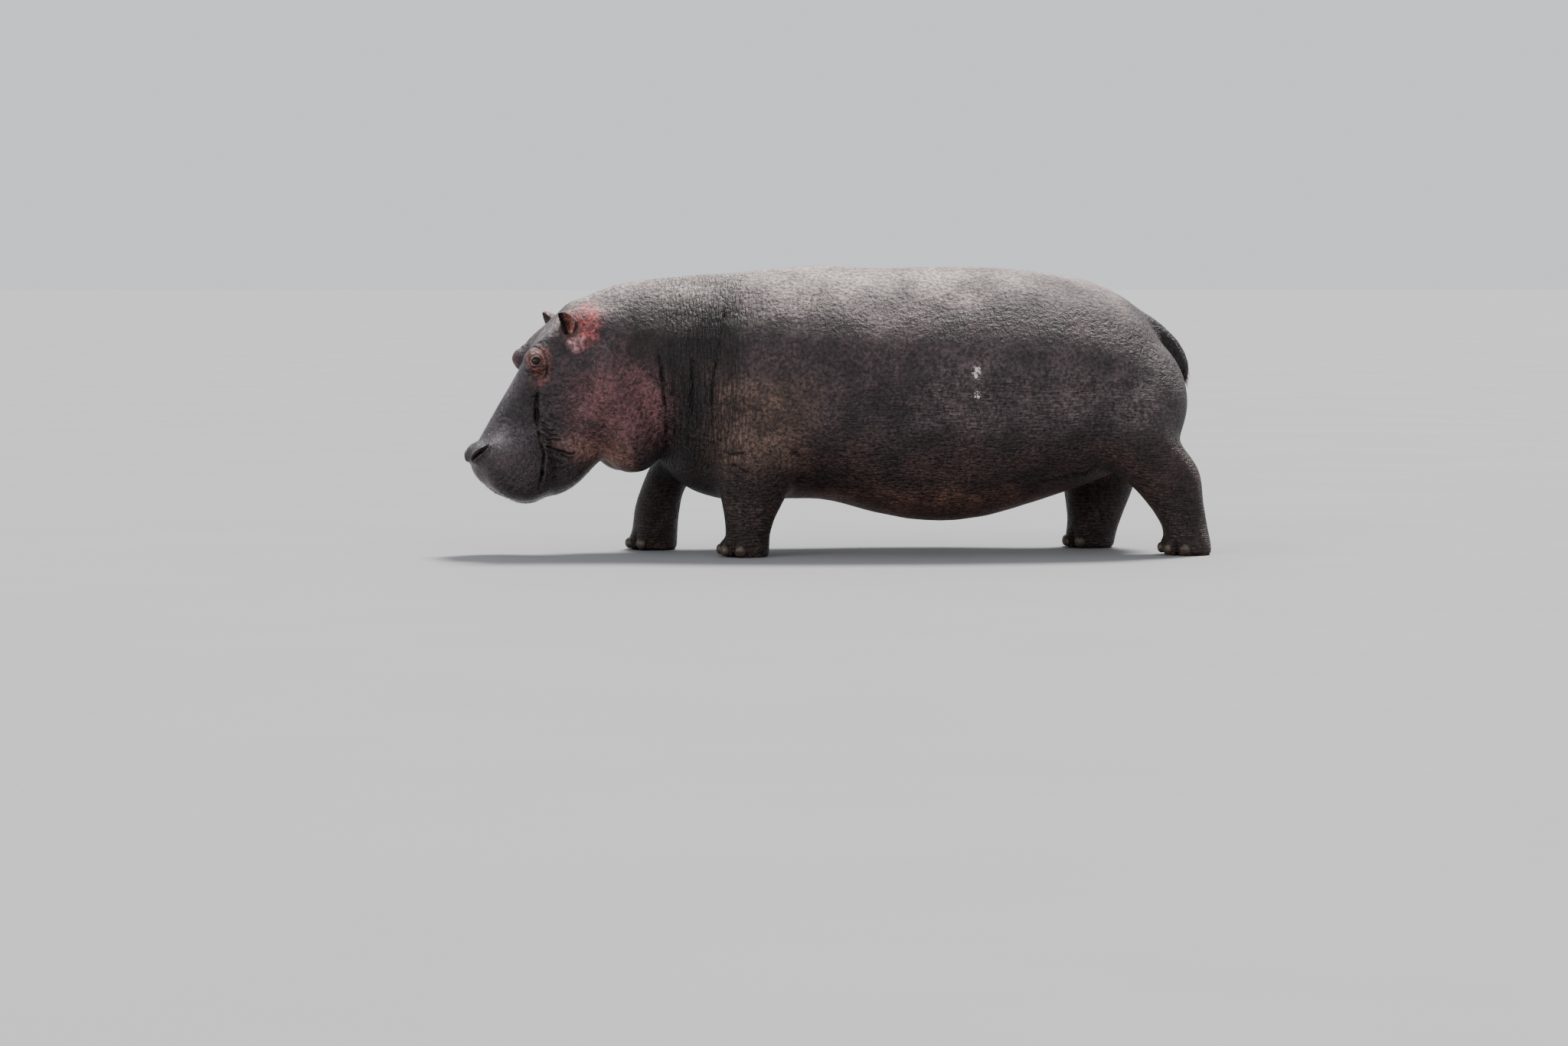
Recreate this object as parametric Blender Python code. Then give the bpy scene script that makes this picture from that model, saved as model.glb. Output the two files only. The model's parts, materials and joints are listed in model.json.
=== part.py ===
"""A life-size hippopotamus, walking with its head low and turned a little to its left.

The animal faces -X, its left side is -Y, and it stands on the plane z = 0. The flesh is one body,
fused from lofted and ellipsoid muscles, then parted by thin cuts into the named pieces. Eyes and
nails sit in sockets of the flesh, and the ears and the tail rest on it.
"""

import math
from dataclasses import dataclass

import bmesh
import bpy
import numpy as np
from mathutils import Matrix, Vector

# ---- driving dimensions, in metres and degrees ----
HEAD_PITCH = 59.2  # how far the snout points below the horizon
HEAD_TURN = 10.5  # how far the head is turned to the animal's left
HEAD_ROOT = (-1.292, 1.117)  # x and z of the head's own origin, between the ears
TURN_FROM, TURN_TO = -0.45, -1.00  # the neck bends between these two stations in x
EYE_RADIUS = 0.026
EYE_PLACE = (0.266, -0.062, 0.186)  # u and v on the head, and distance from the middle plane
BROW_LINE = ((-0.02, -0.030, 0.125), (0.08, -0.070, 0.130), (0.18, -0.102, 0.135), (0.26, -0.10, 0.14))
EAR_PLACE = (0.050, -0.030, 0.178)
EAR_RADII = (0.060, 0.040, 0.025)  # half length, half width and half thickness
TOE_ANGLES = (-66, -23, 23, 66)  # round the foot, from straight ahead
TOE_REACH = 0.084  # from the foot's centre to a toe's centre
TOE_RADII = (0.058, 0.044, 0.050)
NAIL_REACH = 0.123
NAIL_RADII = (0.022, 0.027, 0.025)
NAIL_HEIGHT = 0.033
FOOT_TOP = 0.135  # where each foot is parted from its leg
LEG_MARGIN = 0.045  # ahead of and behind the leg, in the room that parts it from the trunk
BRIM_HEIGHT = 0.03  # of the upright band under that room's slanted top
TOP_REACH = (0.15, 0.04)  # below and above the slanted top, where the leg's width still counts
BELOW_FLOOR = 0.10  # how far the rooms round legs and feet run under the floor
FOOT_ROOM = 0.30  # from a foot's centre to the walls of the room round it
PART_GAP = 0.0006  # left by each thin cut, and round each socketed piece
SHARPEST = 2.5  # at most this many gaps between a sharp corner and its grown copy

# ---- fineness of the solids ----
BODY_VOXEL = 0.016
HEAD_VOXEL = 0.009
FLESH_VOXEL = 0.010
HEAD_TRIANGLES = 1500  # before the parting cuts, which add their own
BODY_TRIANGLES = 2350
FINE_OVERLAP = 0.02  # how far head and neck run past their cut until they are simplified
RING_POINTS = 40
RINGS_PER_SPAN = 5

# ---- colours, linear RGB ----
GREY_BROWN = (0.062, 0.050, 0.049)
DUSTY_GREY = (0.125, 0.112, 0.108)
WET_GREY = (0.036, 0.031, 0.033)
LEG_BROWN = (0.042, 0.034, 0.033)
EAR_PINK = (0.230, 0.098, 0.088)
NAIL_HORN = (0.070, 0.056, 0.045)
EYE_BROWN = (0.020, 0.010, 0.006)


@dataclass
class Section:
    """One cross-section of a lofted form, from edge a to edge b in the side view (x, z)."""

    a: tuple
    b: tuple
    half_width: float
    y: float = 0.0
    widest: float = 0.5  # where it is widest, as a share of the way from b to a
    fullness: float = 2.0  # 2 is an ellipse, more is squarer

    def values(self):
        """All the numbers of the section in one row."""
        return np.array([*self.a, *self.b, self.half_width, self.y, self.widest, self.fullness])


# ---- shapes ----
def smooth_stations(sections, steps=RINGS_PER_SPAN):
    """Values of in-between sections, on a Catmull-Rom curve through the stated ones."""
    rows = [s.values() for s in sections]
    rows = [2 * rows[0] - rows[1], *rows, 2 * rows[-1] - rows[-2]]
    found = []
    for p0, p1, p2, p3 in zip(rows, rows[1:], rows[2:], rows[3:]):
        for t in np.arange(steps) / steps:
            found.append(
                0.5 * (2 * p1 + (p2 - p0) * t + (2 * p0 - 5 * p1 + 4 * p2 - p3) * t**2
                       + (3 * p1 - p0 - 3 * p2 + p3) * t**3)
            )
    return [*found, rows[-2]]


def linked(name, shape):
    """A new object that takes over a bmesh, with its faces turned outwards."""
    bmesh.ops.recalc_face_normals(shape, faces=shape.faces)
    mesh = bpy.data.meshes.new(name)
    shape.to_mesh(mesh)
    shape.free()
    obj = bpy.data.objects.new(name, mesh)
    bpy.context.collection.objects.link(obj)
    return obj


def mesh_of(name, points, faces):
    """A new object from points and faces."""
    shape = bmesh.new()
    corners = [shape.verts.new(point) for point in points]
    for face in faces:
        shape.faces.new([corners[k] for k in face])
    return linked(name, shape)


def loft(name, sections, ring_points=RING_POINTS, steps=RINGS_PER_SPAN):
    """A closed form through the sections, capped flat at both ends."""
    rings = []
    for ax, az, bx, bz, half_width, y, widest, fullness in smooth_stations(sections, steps):
        a, b = np.array([ax, y, az]), np.array([bx, y, bz])
        middle = b + (a - b) * widest
        ring = []
        for t in np.arange(ring_points) * 2 * math.pi / ring_points:
            c, s = math.cos(t), math.sin(t)
            reach = (a if c > 0 else b) - middle
            ring.append(
                middle
                + reach * abs(c) ** (2 / fullness)
                + np.array([0, half_width, 0]) * math.copysign(abs(s) ** (2 / fullness), s)
            )
        rings.append(ring)
    points = [p for ring in rings for p in ring]
    n = ring_points
    faces = [
        (r * n + k, r * n + (k + 1) % n, (r + 1) * n + (k + 1) % n, (r + 1) * n + k)
        for r in range(len(rings) - 1)
        for k in range(n)
    ]
    faces += [tuple(range(n)), tuple(range(len(points) - n, len(points)))]
    return mesh_of(name, points, faces)


def ellipsoid(name, placing, radii, rings=14):
    """An ellipsoid with its own axes where the placing matrix puts them."""
    shape = bmesh.new()
    bmesh.ops.create_uvsphere(shape, u_segments=2 * rings, v_segments=rings, radius=1.0)
    bmesh.ops.transform(shape, matrix=placing @ Matrix.Diagonal((*radii, 1.0)), verts=shape.verts)
    return linked(name, shape)


def blob(name, centre, radii, pitch=0.0, heading=0.0, rings=14):
    """An ellipsoid, its x axis turned down by pitch degrees, then round z by heading degrees."""
    turn = Matrix.Rotation(math.radians(heading), 4, "Z") @ Matrix.Rotation(math.radians(pitch), 4, "Y")
    return ellipsoid(name, Matrix.Translation(centre) @ turn, radii, rings)


def pair(name, centre, radii, pitch=0.0):
    """The same ellipsoid on the left and on the right."""
    x, y, z = centre
    return [blob(name, (x, side * y, z), radii, pitch) for side in (-1, 1)]


def prism(name, outline, near, far):
    """A solid with one outline (x, z) all the way from y = near to y = far."""
    n = len(outline)
    points = [(x, y, z) for y in (near, far) for x, z in outline]
    faces = [tuple(range(n)), tuple(range(n, 2 * n))]
    faces += [(k, (k + 1) % n, n + (k + 1) % n, n + k) for k in range(n)]
    return mesh_of(name, points, faces)


# ---- operations on objects ----
def apply_modifier(obj, kind, **settings):
    """Adds one modifier and puts its result in the object's mesh."""
    modifier = obj.modifiers.new(kind, kind)
    for key, value in settings.items():
        setattr(modifier, key, value)
    graph = bpy.context.evaluated_depsgraph_get()
    mesh = bpy.data.meshes.new_from_object(obj.evaluated_get(graph))
    obj.modifiers.clear()
    obj.data = mesh


def fuse(name, forms, voxel, smoothing):
    """One closed skin round all the forms, with the creases between them filled."""
    shape = bmesh.new()
    for form in forms:
        shape.from_mesh(form.data)
        bpy.data.objects.remove(form)
    mesh = bpy.data.meshes.new(name)
    shape.to_mesh(mesh)
    shape.free()
    obj = bpy.data.objects.new(name, mesh)
    bpy.context.collection.objects.link(obj)
    apply_modifier(obj, "REMESH", mode="VOXEL", voxel_size=voxel)
    apply_modifier(obj, "SMOOTH", factor=0.5, iterations=smoothing)
    return obj


def boolean(obj, cutter, operation):
    """Cuts an object by a solid, or keeps what the two share."""
    apply_modifier(obj, "BOOLEAN", operation=operation, object=cutter, solver="EXACT")


def copy_of(obj, name):
    """A second object with a mesh of its own."""
    twin = bpy.data.objects.new(name, obj.data.copy())
    bpy.context.collection.objects.link(twin)
    return twin


def grown(obj, by=PART_GAP):
    """A copy of a solid whose every face lies further out."""
    shape = bmesh.new()
    shape.from_mesh(obj.data)
    bmesh.ops.triangulate(shape, faces=shape.faces)
    shape.normal_update()
    moves = [(vert, vert.normal * by * min(vert.calc_shell_factor(), SHARPEST)) for vert in shape.verts]
    for vert, move in moves:
        vert.co += move
    return linked(obj.name + "_grown", shape)


def take_away(obj, solid):
    """Cuts room for a solid, with the gap all round it."""
    cutter = grown(solid)
    boolean(obj, cutter, "DIFFERENCE")
    bpy.data.objects.remove(cutter)
    keep_largest(obj)


def part_off(flesh, region, name):
    """Parts the flesh inside the region off as a new object, leaving the gap between the two."""
    piece = copy_of(flesh, name)
    boolean(piece, region, "INTERSECT")
    keep_largest(piece)
    take_away(flesh, region)
    bpy.data.objects.remove(region)
    return piece


def keep_largest(obj):
    """Drops every loose crumb that a cut leaves beside the piece itself."""
    shape = bmesh.new()
    shape.from_mesh(obj.data)
    waiting = set(shape.verts)
    islands = []
    while waiting:
        found = {waiting.pop()}
        edge_of_search = list(found)
        while edge_of_search:
            for edge in edge_of_search.pop().link_edges:
                for vert in edge.verts:
                    if vert in waiting:
                        waiting.discard(vert)
                        found.add(vert)
                        edge_of_search.append(vert)
        islands.append(found)
    islands.sort(key=len)
    crumbs = [vert for island in islands[:-1] for vert in island]
    bmesh.ops.delete(shape, geom=crumbs, context="VERTS")
    shape.to_mesh(obj.data)
    shape.free()


# ---- the head's own frame: u runs down the snout, v from the forehead to the throat ----
def at_head(u, v):
    """x and z of a point of the head, u along the snout and v below its top line."""
    c, s = math.cos(math.radians(HEAD_PITCH)), math.sin(math.radians(HEAD_PITCH))
    return (HEAD_ROOT[0] - u * c + v * s, HEAD_ROOT[1] - u * s - v * c)


def head_section(u, top, bottom, half_width, **more):
    """A section square to the snout."""
    return Section(at_head(u, top), at_head(u, bottom), half_width, **more)


def head_pair(name, u, v, y, radii):
    """Two ellipsoids at the same place on both sides of the head, with radii along u, y and v."""
    x, z = at_head(u, v)
    return pair(name, (x, y, z), radii, pitch=180 - HEAD_PITCH)


def turned(point):
    """A point of the straight animal, carried round by the turn of the neck and head."""
    x, y, z = point
    share = min(max((x - TURN_FROM) / (TURN_TO - TURN_FROM), 0.0), 1.0)
    pivot = TURN_FROM + (TURN_TO - TURN_FROM) / 2
    angle = math.radians(HEAD_TURN) * share * share * (3 - 2 * share)
    return Vector((
        pivot + (x - pivot) * math.cos(angle) - y * math.sin(angle),
        (x - pivot) * math.sin(angle) + y * math.cos(angle),
        z,
    ))


def bent(forms):
    """The forms, carried round by the turn of the neck and head. The legs stay as they stand."""
    for form in forms:
        for vertex in form.data.vertices:
            vertex.co = turned(vertex.co)
    return forms


# ---- the flesh ----
def trunk_forms():
    """The barrel from the neck to the rump."""
    def station(x, top, bottom, half_width, widest=0.45, fullness=2.15):
        return Section((x, top), (x, bottom), half_width, widest=widest, fullness=fullness)

    barrel = loft("barrel", [
        station(-0.92, 1.16, 0.55, 0.26),
        station(-0.75, 1.285, 0.33, 0.37),
        station(-0.52, 1.328, 0.25, 0.44),
        station(-0.28, 1.354, 0.258, 0.485),
        station(-0.05, 1.366, 0.250, 0.515),
        station(0.20, 1.356, 0.185, 0.535),
        station(0.45, 1.362, 0.150, 0.545),
        station(0.70, 1.362, 0.172, 0.54),
        station(0.90, 1.346, 0.228, 0.52),
        station(1.08, 1.318, 0.285, 0.50),
        station(1.25, 1.273, 0.345, 0.48),
        station(1.41, 1.184, 0.42, 0.43),
        station(1.515, 1.052, 0.51, 0.35),
        station(1.578, 0.93, 0.60, 0.24),
    ])
    haunches = pair("haunch", (1.365, 0.19, 0.72), (0.288, 0.27, 0.33))
    shoulders = pair("shoulder", (-0.36, 0.25, 0.70), (0.24, 0.235, 0.36), pitch=-8)
    return [barrel, *haunches, *shoulders]


def neck_forms():
    """The short, deep neck, which hides the back of the head."""
    return [loft("nape", [
        Section((-1.30, 1.160), (-1.12, 0.75), 0.22),
        Section((-1.18, 1.235), (-1.02, 0.62), 0.27),
        Section((-1.02, 1.288), (-0.93, 0.50), 0.305),
        Section((-0.84, 1.310), (-0.80, 0.40), 0.345),
        Section((-0.66, 1.322), (-0.68, 0.29), 0.385),
        Section((-0.45, 1.335), (-0.50, 0.25), 0.43),
    ])]


@dataclass
class LegPlan:
    """One leg from its top to the floor, with its cut from the trunk and the way its foot points."""

    y: float
    stations: list  # height, front edge, rear edge, half-width, shift away from the middle plane
    parting: tuple = (0.30, 0.47)  # height of the cut from the trunk, inside and outside the leg
    room: tuple = (0.045, 0.62)  # how far from the middle plane the cut reaches
    splay: float = 8.0  # degrees that the foot points away from the middle plane

    @property
    def side(self):
        """-1 on the animal's left, 1 on its right."""
        return math.copysign(1.0, self.y)

    @property
    def foot_centre(self):
        """x and y of the middle of the sole."""
        _, front, rear, _, out = self.stations[-2]
        return ((front + rear) / 2, self.y + out * self.side)


LEGS = {
    "front_left": LegPlan(-0.27, [
        (0.80, -0.58, -0.12, 0.16, 0.04), (0.50, -0.60, -0.16, 0.16, 0.04),
        (0.34, -0.585, -0.235, 0.140, 0.01), (0.22, -0.560, -0.295, 0.118, 0.0),
        (0.12, -0.545, -0.335, 0.108, 0.0), (0.04, -0.555, -0.340, 0.118, 0.0),
        (-0.03, -0.555, -0.345, 0.118, 0.0),
    ]),
    "front_right": LegPlan(0.25, [
        (0.80, -0.74, -0.36, 0.15, 0.03), (0.56, -0.80, -0.46, 0.15, 0.03),
        (0.42, -0.880, -0.62, 0.135, 0.01), (0.30, -0.930, -0.715, 0.120, 0.0),
        (0.20, -0.962, -0.742, 0.112, 0.0), (0.11, -0.972, -0.752, 0.110, 0.0),
        (0.04, -0.980, -0.755, 0.118, 0.0), (-0.03, -0.980, -0.758, 0.118, 0.0),
    ], parting=(0.36, 0.54), room=(0.10, 0.62)),
    "hind_left": LegPlan(-0.27, [
        (0.75, 1.16, 1.52, 0.18, 0.04), (0.55, 1.19, 1.585, 0.172, 0.03),
        (0.46, 1.23, 1.655, 0.16, 0.02), (0.38, 1.31, 1.702, 0.145, 0.01),
        (0.29, 1.410, 1.714, 0.128, 0.0), (0.16, 1.510, 1.732, 0.108, 0.0),
        (0.06, 1.540, 1.752, 0.115, 0.0), (-0.03, 1.540, 1.757, 0.115, 0.0),
    ], parting=(0.36, 0.52)),
    "hind_right": LegPlan(0.27, [
        (0.75, 1.10, 1.56, 0.17, 0.04), (0.52, 1.09, 1.56, 0.165, 0.03),
        (0.38, 1.11, 1.50, 0.15, 0.01), (0.27, 1.125, 1.455, 0.130, 0.0),
        (0.14, 1.140, 1.405, 0.110, 0.0), (0.05, 1.135, 1.375, 0.115, 0.0),
        (-0.03, 1.130, 1.375, 0.115, 0.0),
    ], parting=(0.33, 0.50)),
}


def leg_forms():
    """The four legs, each running up into the trunk."""
    return [
        loft(f"leg_{name}", [
            Section((front, z), (rear, z), half_width, y=plan.y + out * plan.side, fullness=2.3)
            for z, front, rear, half_width, out in plan.stations
        ])
        for name, plan in LEGS.items()
    ]


def round_the_foot(plan, angle, reach, height):
    """A point in front of the foot's centre, and the heading of the toe through it."""
    x, y = plan.foot_centre
    heading = angle + plan.splay * plan.side
    along = math.radians(heading)
    return (x - reach * math.cos(along), y + reach * math.sin(along), height), -heading


def toe_forms():
    """Four broad toes round the front of each foot."""
    toes = []
    for plan in LEGS.values():
        for angle in TOE_ANGLES:
            centre, heading = round_the_foot(plan, angle, TOE_REACH, TOE_RADII[2] * 0.75)
            toes.append(blob("toe", centre, TOE_RADII, heading=heading))
    return toes


def head_forms():
    """Skull, jaws and face muscles."""
    skull = loft("skull", [
        head_section(-0.10, -0.026, 0.50, 0.24, fullness=2.3),
        head_section(0.06, -0.061, 0.52, 0.255, widest=0.45, fullness=2.4),
        head_section(0.20, -0.082, 0.50, 0.245, widest=0.42, fullness=2.4),
        head_section(0.32, -0.080, 0.46, 0.215, widest=0.42, fullness=2.2),
        head_section(0.43, -0.082, 0.44, 0.172, widest=0.45),
        head_section(0.54, -0.082, 0.40, 0.152),
        head_section(0.66, -0.080, 0.38, 0.160),
        head_section(0.78, -0.074, 0.33, 0.165),
        head_section(0.840, -0.045, 0.30, 0.145),
        head_section(0.875, 0.02, 0.24, 0.10),
    ])
    mandible = loft("mandible", [
        head_section(0.34, 0.15, 0.52, 0.19),
        head_section(0.46, 0.15, 0.485, 0.175),
        head_section(0.56, 0.15, 0.457, 0.170),
        head_section(0.66, 0.15, 0.432, 0.165),
        head_section(0.745, 0.15, 0.378, 0.150),
        head_section(0.79, 0.15, 0.315, 0.12),
    ])
    brow_ridges = [
        loft("brow_ridge", [
            head_section(u, top, 0.08, 0.06, y=side * y)
            for u, top, y in BROW_LINE
        ])
        for side in (-1, 1)
    ]
    return [
        skull,
        mandible,
        *brow_ridges,
        *head_pair("muzzle_pad", 0.722, 0.135, 0.112, (0.165, 0.120, 0.190)),
        *pair("cheek", (-1.07, 0.135, 0.82), (0.23, 0.155, 0.34), pitch=-14),
        *pair("jowl", (-1.005, 0.115, 0.62), (0.185, 0.165, 0.238)),
        *pair("jaw_muscle", (-1.18, 0.095, 0.70), (0.17, 0.140, 0.22)),
    ]


def face_forms():
    """The smaller forms of the face, which keep their edges: orbits and nostrils."""
    return [
        *head_pair("orbit", 0.262, -0.058, 0.148, (0.060, 0.058, 0.064)),
        *head_pair("nostril_mound", 0.765, -0.034, 0.080, (0.062, 0.054, 0.062)),
    ]


def simplified(flesh, triangles):
    """Replaces the even, fine surface by fewer and larger triangles."""
    present = sum(len(face.vertices) - 2 for face in flesh.data.polygons)
    apply_modifier(flesh, "DECIMATE", ratio=triangles / present, use_collapse_triangulate=True)
    return flesh


def fused_flesh():
    """The flesh behind and ahead of the head's cut, as two faceted solids that overlap a little."""
    body = fuse("body", bent(trunk_forms() + neck_forms()) + leg_forms(), BODY_VOXEL, 14)
    skull = fuse("skull", bent(head_forms()), HEAD_VOXEL, 56)
    head = fuse("head", [skull, *bent(face_forms())], HEAD_VOXEL, 6)
    trunk = fuse("trunk", [body, head, *toe_forms()], FLESH_VOXEL, 4)
    head = copy_of(trunk, "head")
    cuts = ((head, FINE_OVERLAP, "INTERSECT"), (trunk, -FINE_OVERLAP, "DIFFERENCE"))
    for flesh, shift, operation in cuts:
        region = head_region(shift)
        boolean(flesh, region, operation)
        bpy.data.objects.remove(region)
        keep_largest(flesh)
    below = prism("below_floor", [(-3, -1), (3, -1), (3, 0), (-3, 0)], -2, 2)
    simplified(head, HEAD_TRIANGLES)
    boolean(simplified(trunk, BODY_TRIANGLES), below, "DIFFERENCE")
    bpy.data.objects.remove(below)
    return trunk, head


# ---- pieces beside the flesh ----
def head_placing(u, v, y, along, facing):
    """A matrix whose x axis runs along and whose z axis faces as told, both in (u, v, y)."""
    c, s = math.cos(math.radians(HEAD_PITCH)), math.sin(math.radians(HEAD_PITCH))
    to_world = Matrix(((-c, s, 0), (0, 0, 1), (-s, -c, 0)))
    x_axis = (to_world @ Vector(along)).normalized()
    z_axis = to_world @ Vector(facing)
    z_axis = (z_axis - x_axis * z_axis.dot(x_axis)).normalized()
    y_axis = z_axis.cross(x_axis)
    x, z = at_head(u, v)
    placing = Matrix((x_axis, y_axis, z_axis)).transposed().to_4x4()
    return Matrix.Translation((x, y, z)) @ placing


def ear(side):
    """A small oval cup, open to the side and a little forward."""
    name = "ear_left" if side < 0 else "ear_right"
    u, v, y = EAR_PLACE
    placing = head_placing(u, v, side * y, (-0.50, -0.85, 0.30 * side), (0.20, 0.0, side))
    cup = ellipsoid(name, placing, EAR_RADII, rings=6)
    length, width, depth = EAR_RADII
    hollow = Matrix.Translation((length * 0.10, 0, depth * 0.60))
    inside = ellipsoid("ear_hollow", placing @ hollow, (length * 0.76, width * 0.72, depth * 0.90), rings=5)
    boolean(cup, inside, "DIFFERENCE")
    bpy.data.objects.remove(inside)
    return bent([cup])[0]


def eye(side):
    """A ball whose outer third shows."""
    name = "eye_left" if side < 0 else "eye_right"
    u, v, y = EYE_PLACE
    x, z = at_head(u, v)
    return bent([blob(name, (x, side * y, z), (EYE_RADIUS,) * 3, rings=7)])[0]


def nails(leg_name, plan):
    """The four blunt nails of one foot, from its outer toe to its inner toe."""
    found = []
    for number, angle in enumerate(TOE_ANGLES, start=1):
        centre, heading = round_the_foot(plan, angle * plan.side, NAIL_REACH, NAIL_HEIGHT)
        found.append(blob(f"nail_{leg_name}_{number}", centre, NAIL_RADII, heading=heading, rings=4))
    return found


def tail():
    """The short tail, thick at its root and flat at its tip, lying on the rump."""
    return loft("tail", [
        Section((1.42, 1.182), (1.39, 1.09), 0.050),
        Section((1.524, 1.112), (1.46, 1.030), 0.050),
        Section((1.636, 1.010), (1.545, 0.955), 0.044),
        Section((1.687, 0.902), (1.600, 0.878), 0.040),
        Section((1.682, 0.826), (1.628, 0.815), 0.030),
        Section((1.668, 0.799), (1.645, 0.797), 0.015),
    ], ring_points=10, steps=2)


# ---- the named pieces ----
def leg_region(plan):
    """Room round the part of a leg that stands clear of the trunk, with a slanted top."""
    inner, outer = plan.room
    low, high = plan.parting
    brim = low - BRIM_HEIGHT
    below, above = TOP_REACH
    upper = [station for station in plan.stations if low - below < station[0] < high + above]
    top_front = min(station[1] for station in upper)
    top_rear = max(station[2] for station in upper)
    levels = [(-BELOW_FLOOR, -BELOW_FLOOR, *plan.stations[-1][1:3])]
    for z, front, rear, _, _ in reversed(plan.stations):
        if 0.0 < z < brim - BRIM_HEIGHT:
            levels.append((z, z, front, rear))
    levels += [(brim, brim, top_front, top_rear), (low, high, top_front, top_rear)]
    points = []
    for z_inner, z_outer, front, rear in levels:
        for x, y, z in (
            (front - LEG_MARGIN, inner, z_inner), (rear + LEG_MARGIN, inner, z_inner),
            (rear + LEG_MARGIN, outer, z_outer), (front - LEG_MARGIN, outer, z_outer),
        ):
            points.append((x, y * plan.side, z))
    faces = [
        (4 * r + k, 4 * r + (k + 1) % 4, 4 * r + 4 + (k + 1) % 4, 4 * r + 4 + k)
        for r in range(len(levels) - 1)
        for k in range(4)
    ]
    faces += [(0, 1, 2, 3), tuple(range(len(points) - 4, len(points)))]
    return mesh_of("leg_region", points, faces)


def head_region(shift=0.0):
    """Everything ahead of a slanted plane behind the ears and above the far front leg."""
    edge = [(-1.10, 1.60), (-0.865, 0.50), (-0.90, 0.37), (-1.06, 0.30), (-1.30, 0.10)]
    moved = [(x + shift, z - shift) for x, z in edge]
    return prism("head_region", moved + [(-2.60, 0.10), (-2.60, 1.60)], -1.2, 1.2)


def neck_region():
    """Everything ahead of a plane in front of the shoulders."""
    return prism("neck_region", [(-0.64, 1.60), (-0.60, 0.10), (-2.60, 0.10), (-2.60, 1.60)], -1.2, 1.2)


def jaw_region():
    """Everything under the line of the mouth, from its corner to the chin."""
    line = [(0.47, 0.12), (0.54, 0.175), (0.62, 0.205), (0.70, 0.232), (0.79, 0.262), (0.95, 0.33)]
    under = [(0.95, 0.75), (0.50, 0.75), (0.455, 0.30)]
    region = prism("jaw_region", [at_head(u, v) for u, v in line + under], -0.45, 0.45)
    angle = math.radians(HEAD_TURN)
    pivot = Vector(((TURN_FROM + TURN_TO) / 2, 0, 0))
    turn = Matrix.Translation(pivot) @ Matrix.Rotation(angle, 4, "Z") @ Matrix.Translation(-pivot)
    region.data.transform(turn)
    return region


def foot_region(plan):
    """Room round a foot, up to its flat cut from the leg."""
    x, y = plan.foot_centre
    front, rear = x - FOOT_ROOM, x + FOOT_ROOM
    outline = [(front, -BELOW_FLOOR), (rear, -BELOW_FLOOR), (rear, FOOT_TOP), (front, FOOT_TOP)]
    return prism("foot_region", outline, y - FOOT_ROOM, y + FOOT_ROOM)


def parted_flesh():
    """The flesh as named pieces: trunk, neck, head, lower jaw, legs and feet."""
    trunk, head = fused_flesh()
    pieces = {"trunk": trunk, "head": head}
    boundary = head_region()
    boolean(head, boundary, "INTERSECT")
    take_away(trunk, boundary)
    bpy.data.objects.remove(boundary)
    for name, plan in LEGS.items():
        pieces[f"leg_{name}"] = part_off(trunk, leg_region(plan), f"leg_{name}")
        pieces[f"foot_{name}"] = part_off(pieces[f"leg_{name}"], foot_region(plan), f"foot_{name}")
    pieces["neck"] = part_off(trunk, neck_region(), "neck")
    pieces["lower_jaw"] = part_off(head, jaw_region(), "lower_jaw")
    return pieces


def add_small_pieces(pieces):
    """Eyes and nails in sockets, ears and tail resting on the flesh."""
    for side in (-1, 1):
        ball = eye(side)
        take_away(pieces["head"], ball)
        pieces[ball.name] = ball
        cup = ear(side)
        take_away(cup, pieces["head"])
        pieces[cup.name] = cup
    for name, plan in LEGS.items():
        for nail in nails(name, plan):
            take_away(pieces[f"foot_{name}"], nail)
            pieces[nail.name] = nail
    pieces["tail"] = tail()
    take_away(pieces["tail"], pieces["trunk"])


# ---- looks ----
def finish(obj, colour, roughness):
    """Gives an object a material of its own."""
    material = bpy.data.materials.new(obj.name)
    material.use_nodes = True
    shader = material.node_tree.nodes["Principled BSDF"]
    shader.inputs["Base Color"].default_value = (*colour, 1.0)
    shader.inputs["Roughness"].default_value = roughness
    shader.inputs["Metallic"].default_value = 0.0
    obj.data.materials.clear()
    obj.data.materials.append(material)


FINISHES = {
    # the start of a piece's name: its colour and roughness
    "trunk": (GREY_BROWN, 0.75),
    "neck": (DUSTY_GREY, 0.75),
    "head": (GREY_BROWN, 0.6),
    "lower_jaw": (WET_GREY, 0.45),
    "ear": (EAR_PINK, 0.6),
    "eye": (EYE_BROWN, 0.08),
    "tail": (LEG_BROWN, 0.75),
    "leg": (LEG_BROWN, 0.75),
    "foot": (LEG_BROWN, 0.8),
    "nail": (NAIL_HORN, 0.5),
}


def finish_all(pieces):
    """Colours every piece and shades it smooth, but for its sharp edges."""
    for name, obj in pieces.items():
        key = next(start for start in FINISHES if name.startswith(start))
        finish(obj, *FINISHES[key])
        obj.data.shade_smooth()
        obj.data.set_sharp_from_angle(angle=math.radians(40))


def centre_on_floor(pieces):
    """Puts the middle of the animal's box over the origin, through a parent empty."""
    corners = np.array([tuple(vertex.co) for obj in pieces.values() for vertex in obj.data.vertices])
    middle = (corners.min(axis=0) + corners.max(axis=0)) / 2
    stance = bpy.data.objects.new("stance", None)
    bpy.context.collection.objects.link(stance)
    stance.location = (-middle[0], -middle[1], 0.0)
    for obj in pieces.values():
        obj.parent = stance
    bpy.context.view_layer.update()


def clear_scene():
    """Removes whatever the scene starts with."""
    for obj in list(bpy.data.objects):
        bpy.data.objects.remove(obj)


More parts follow.
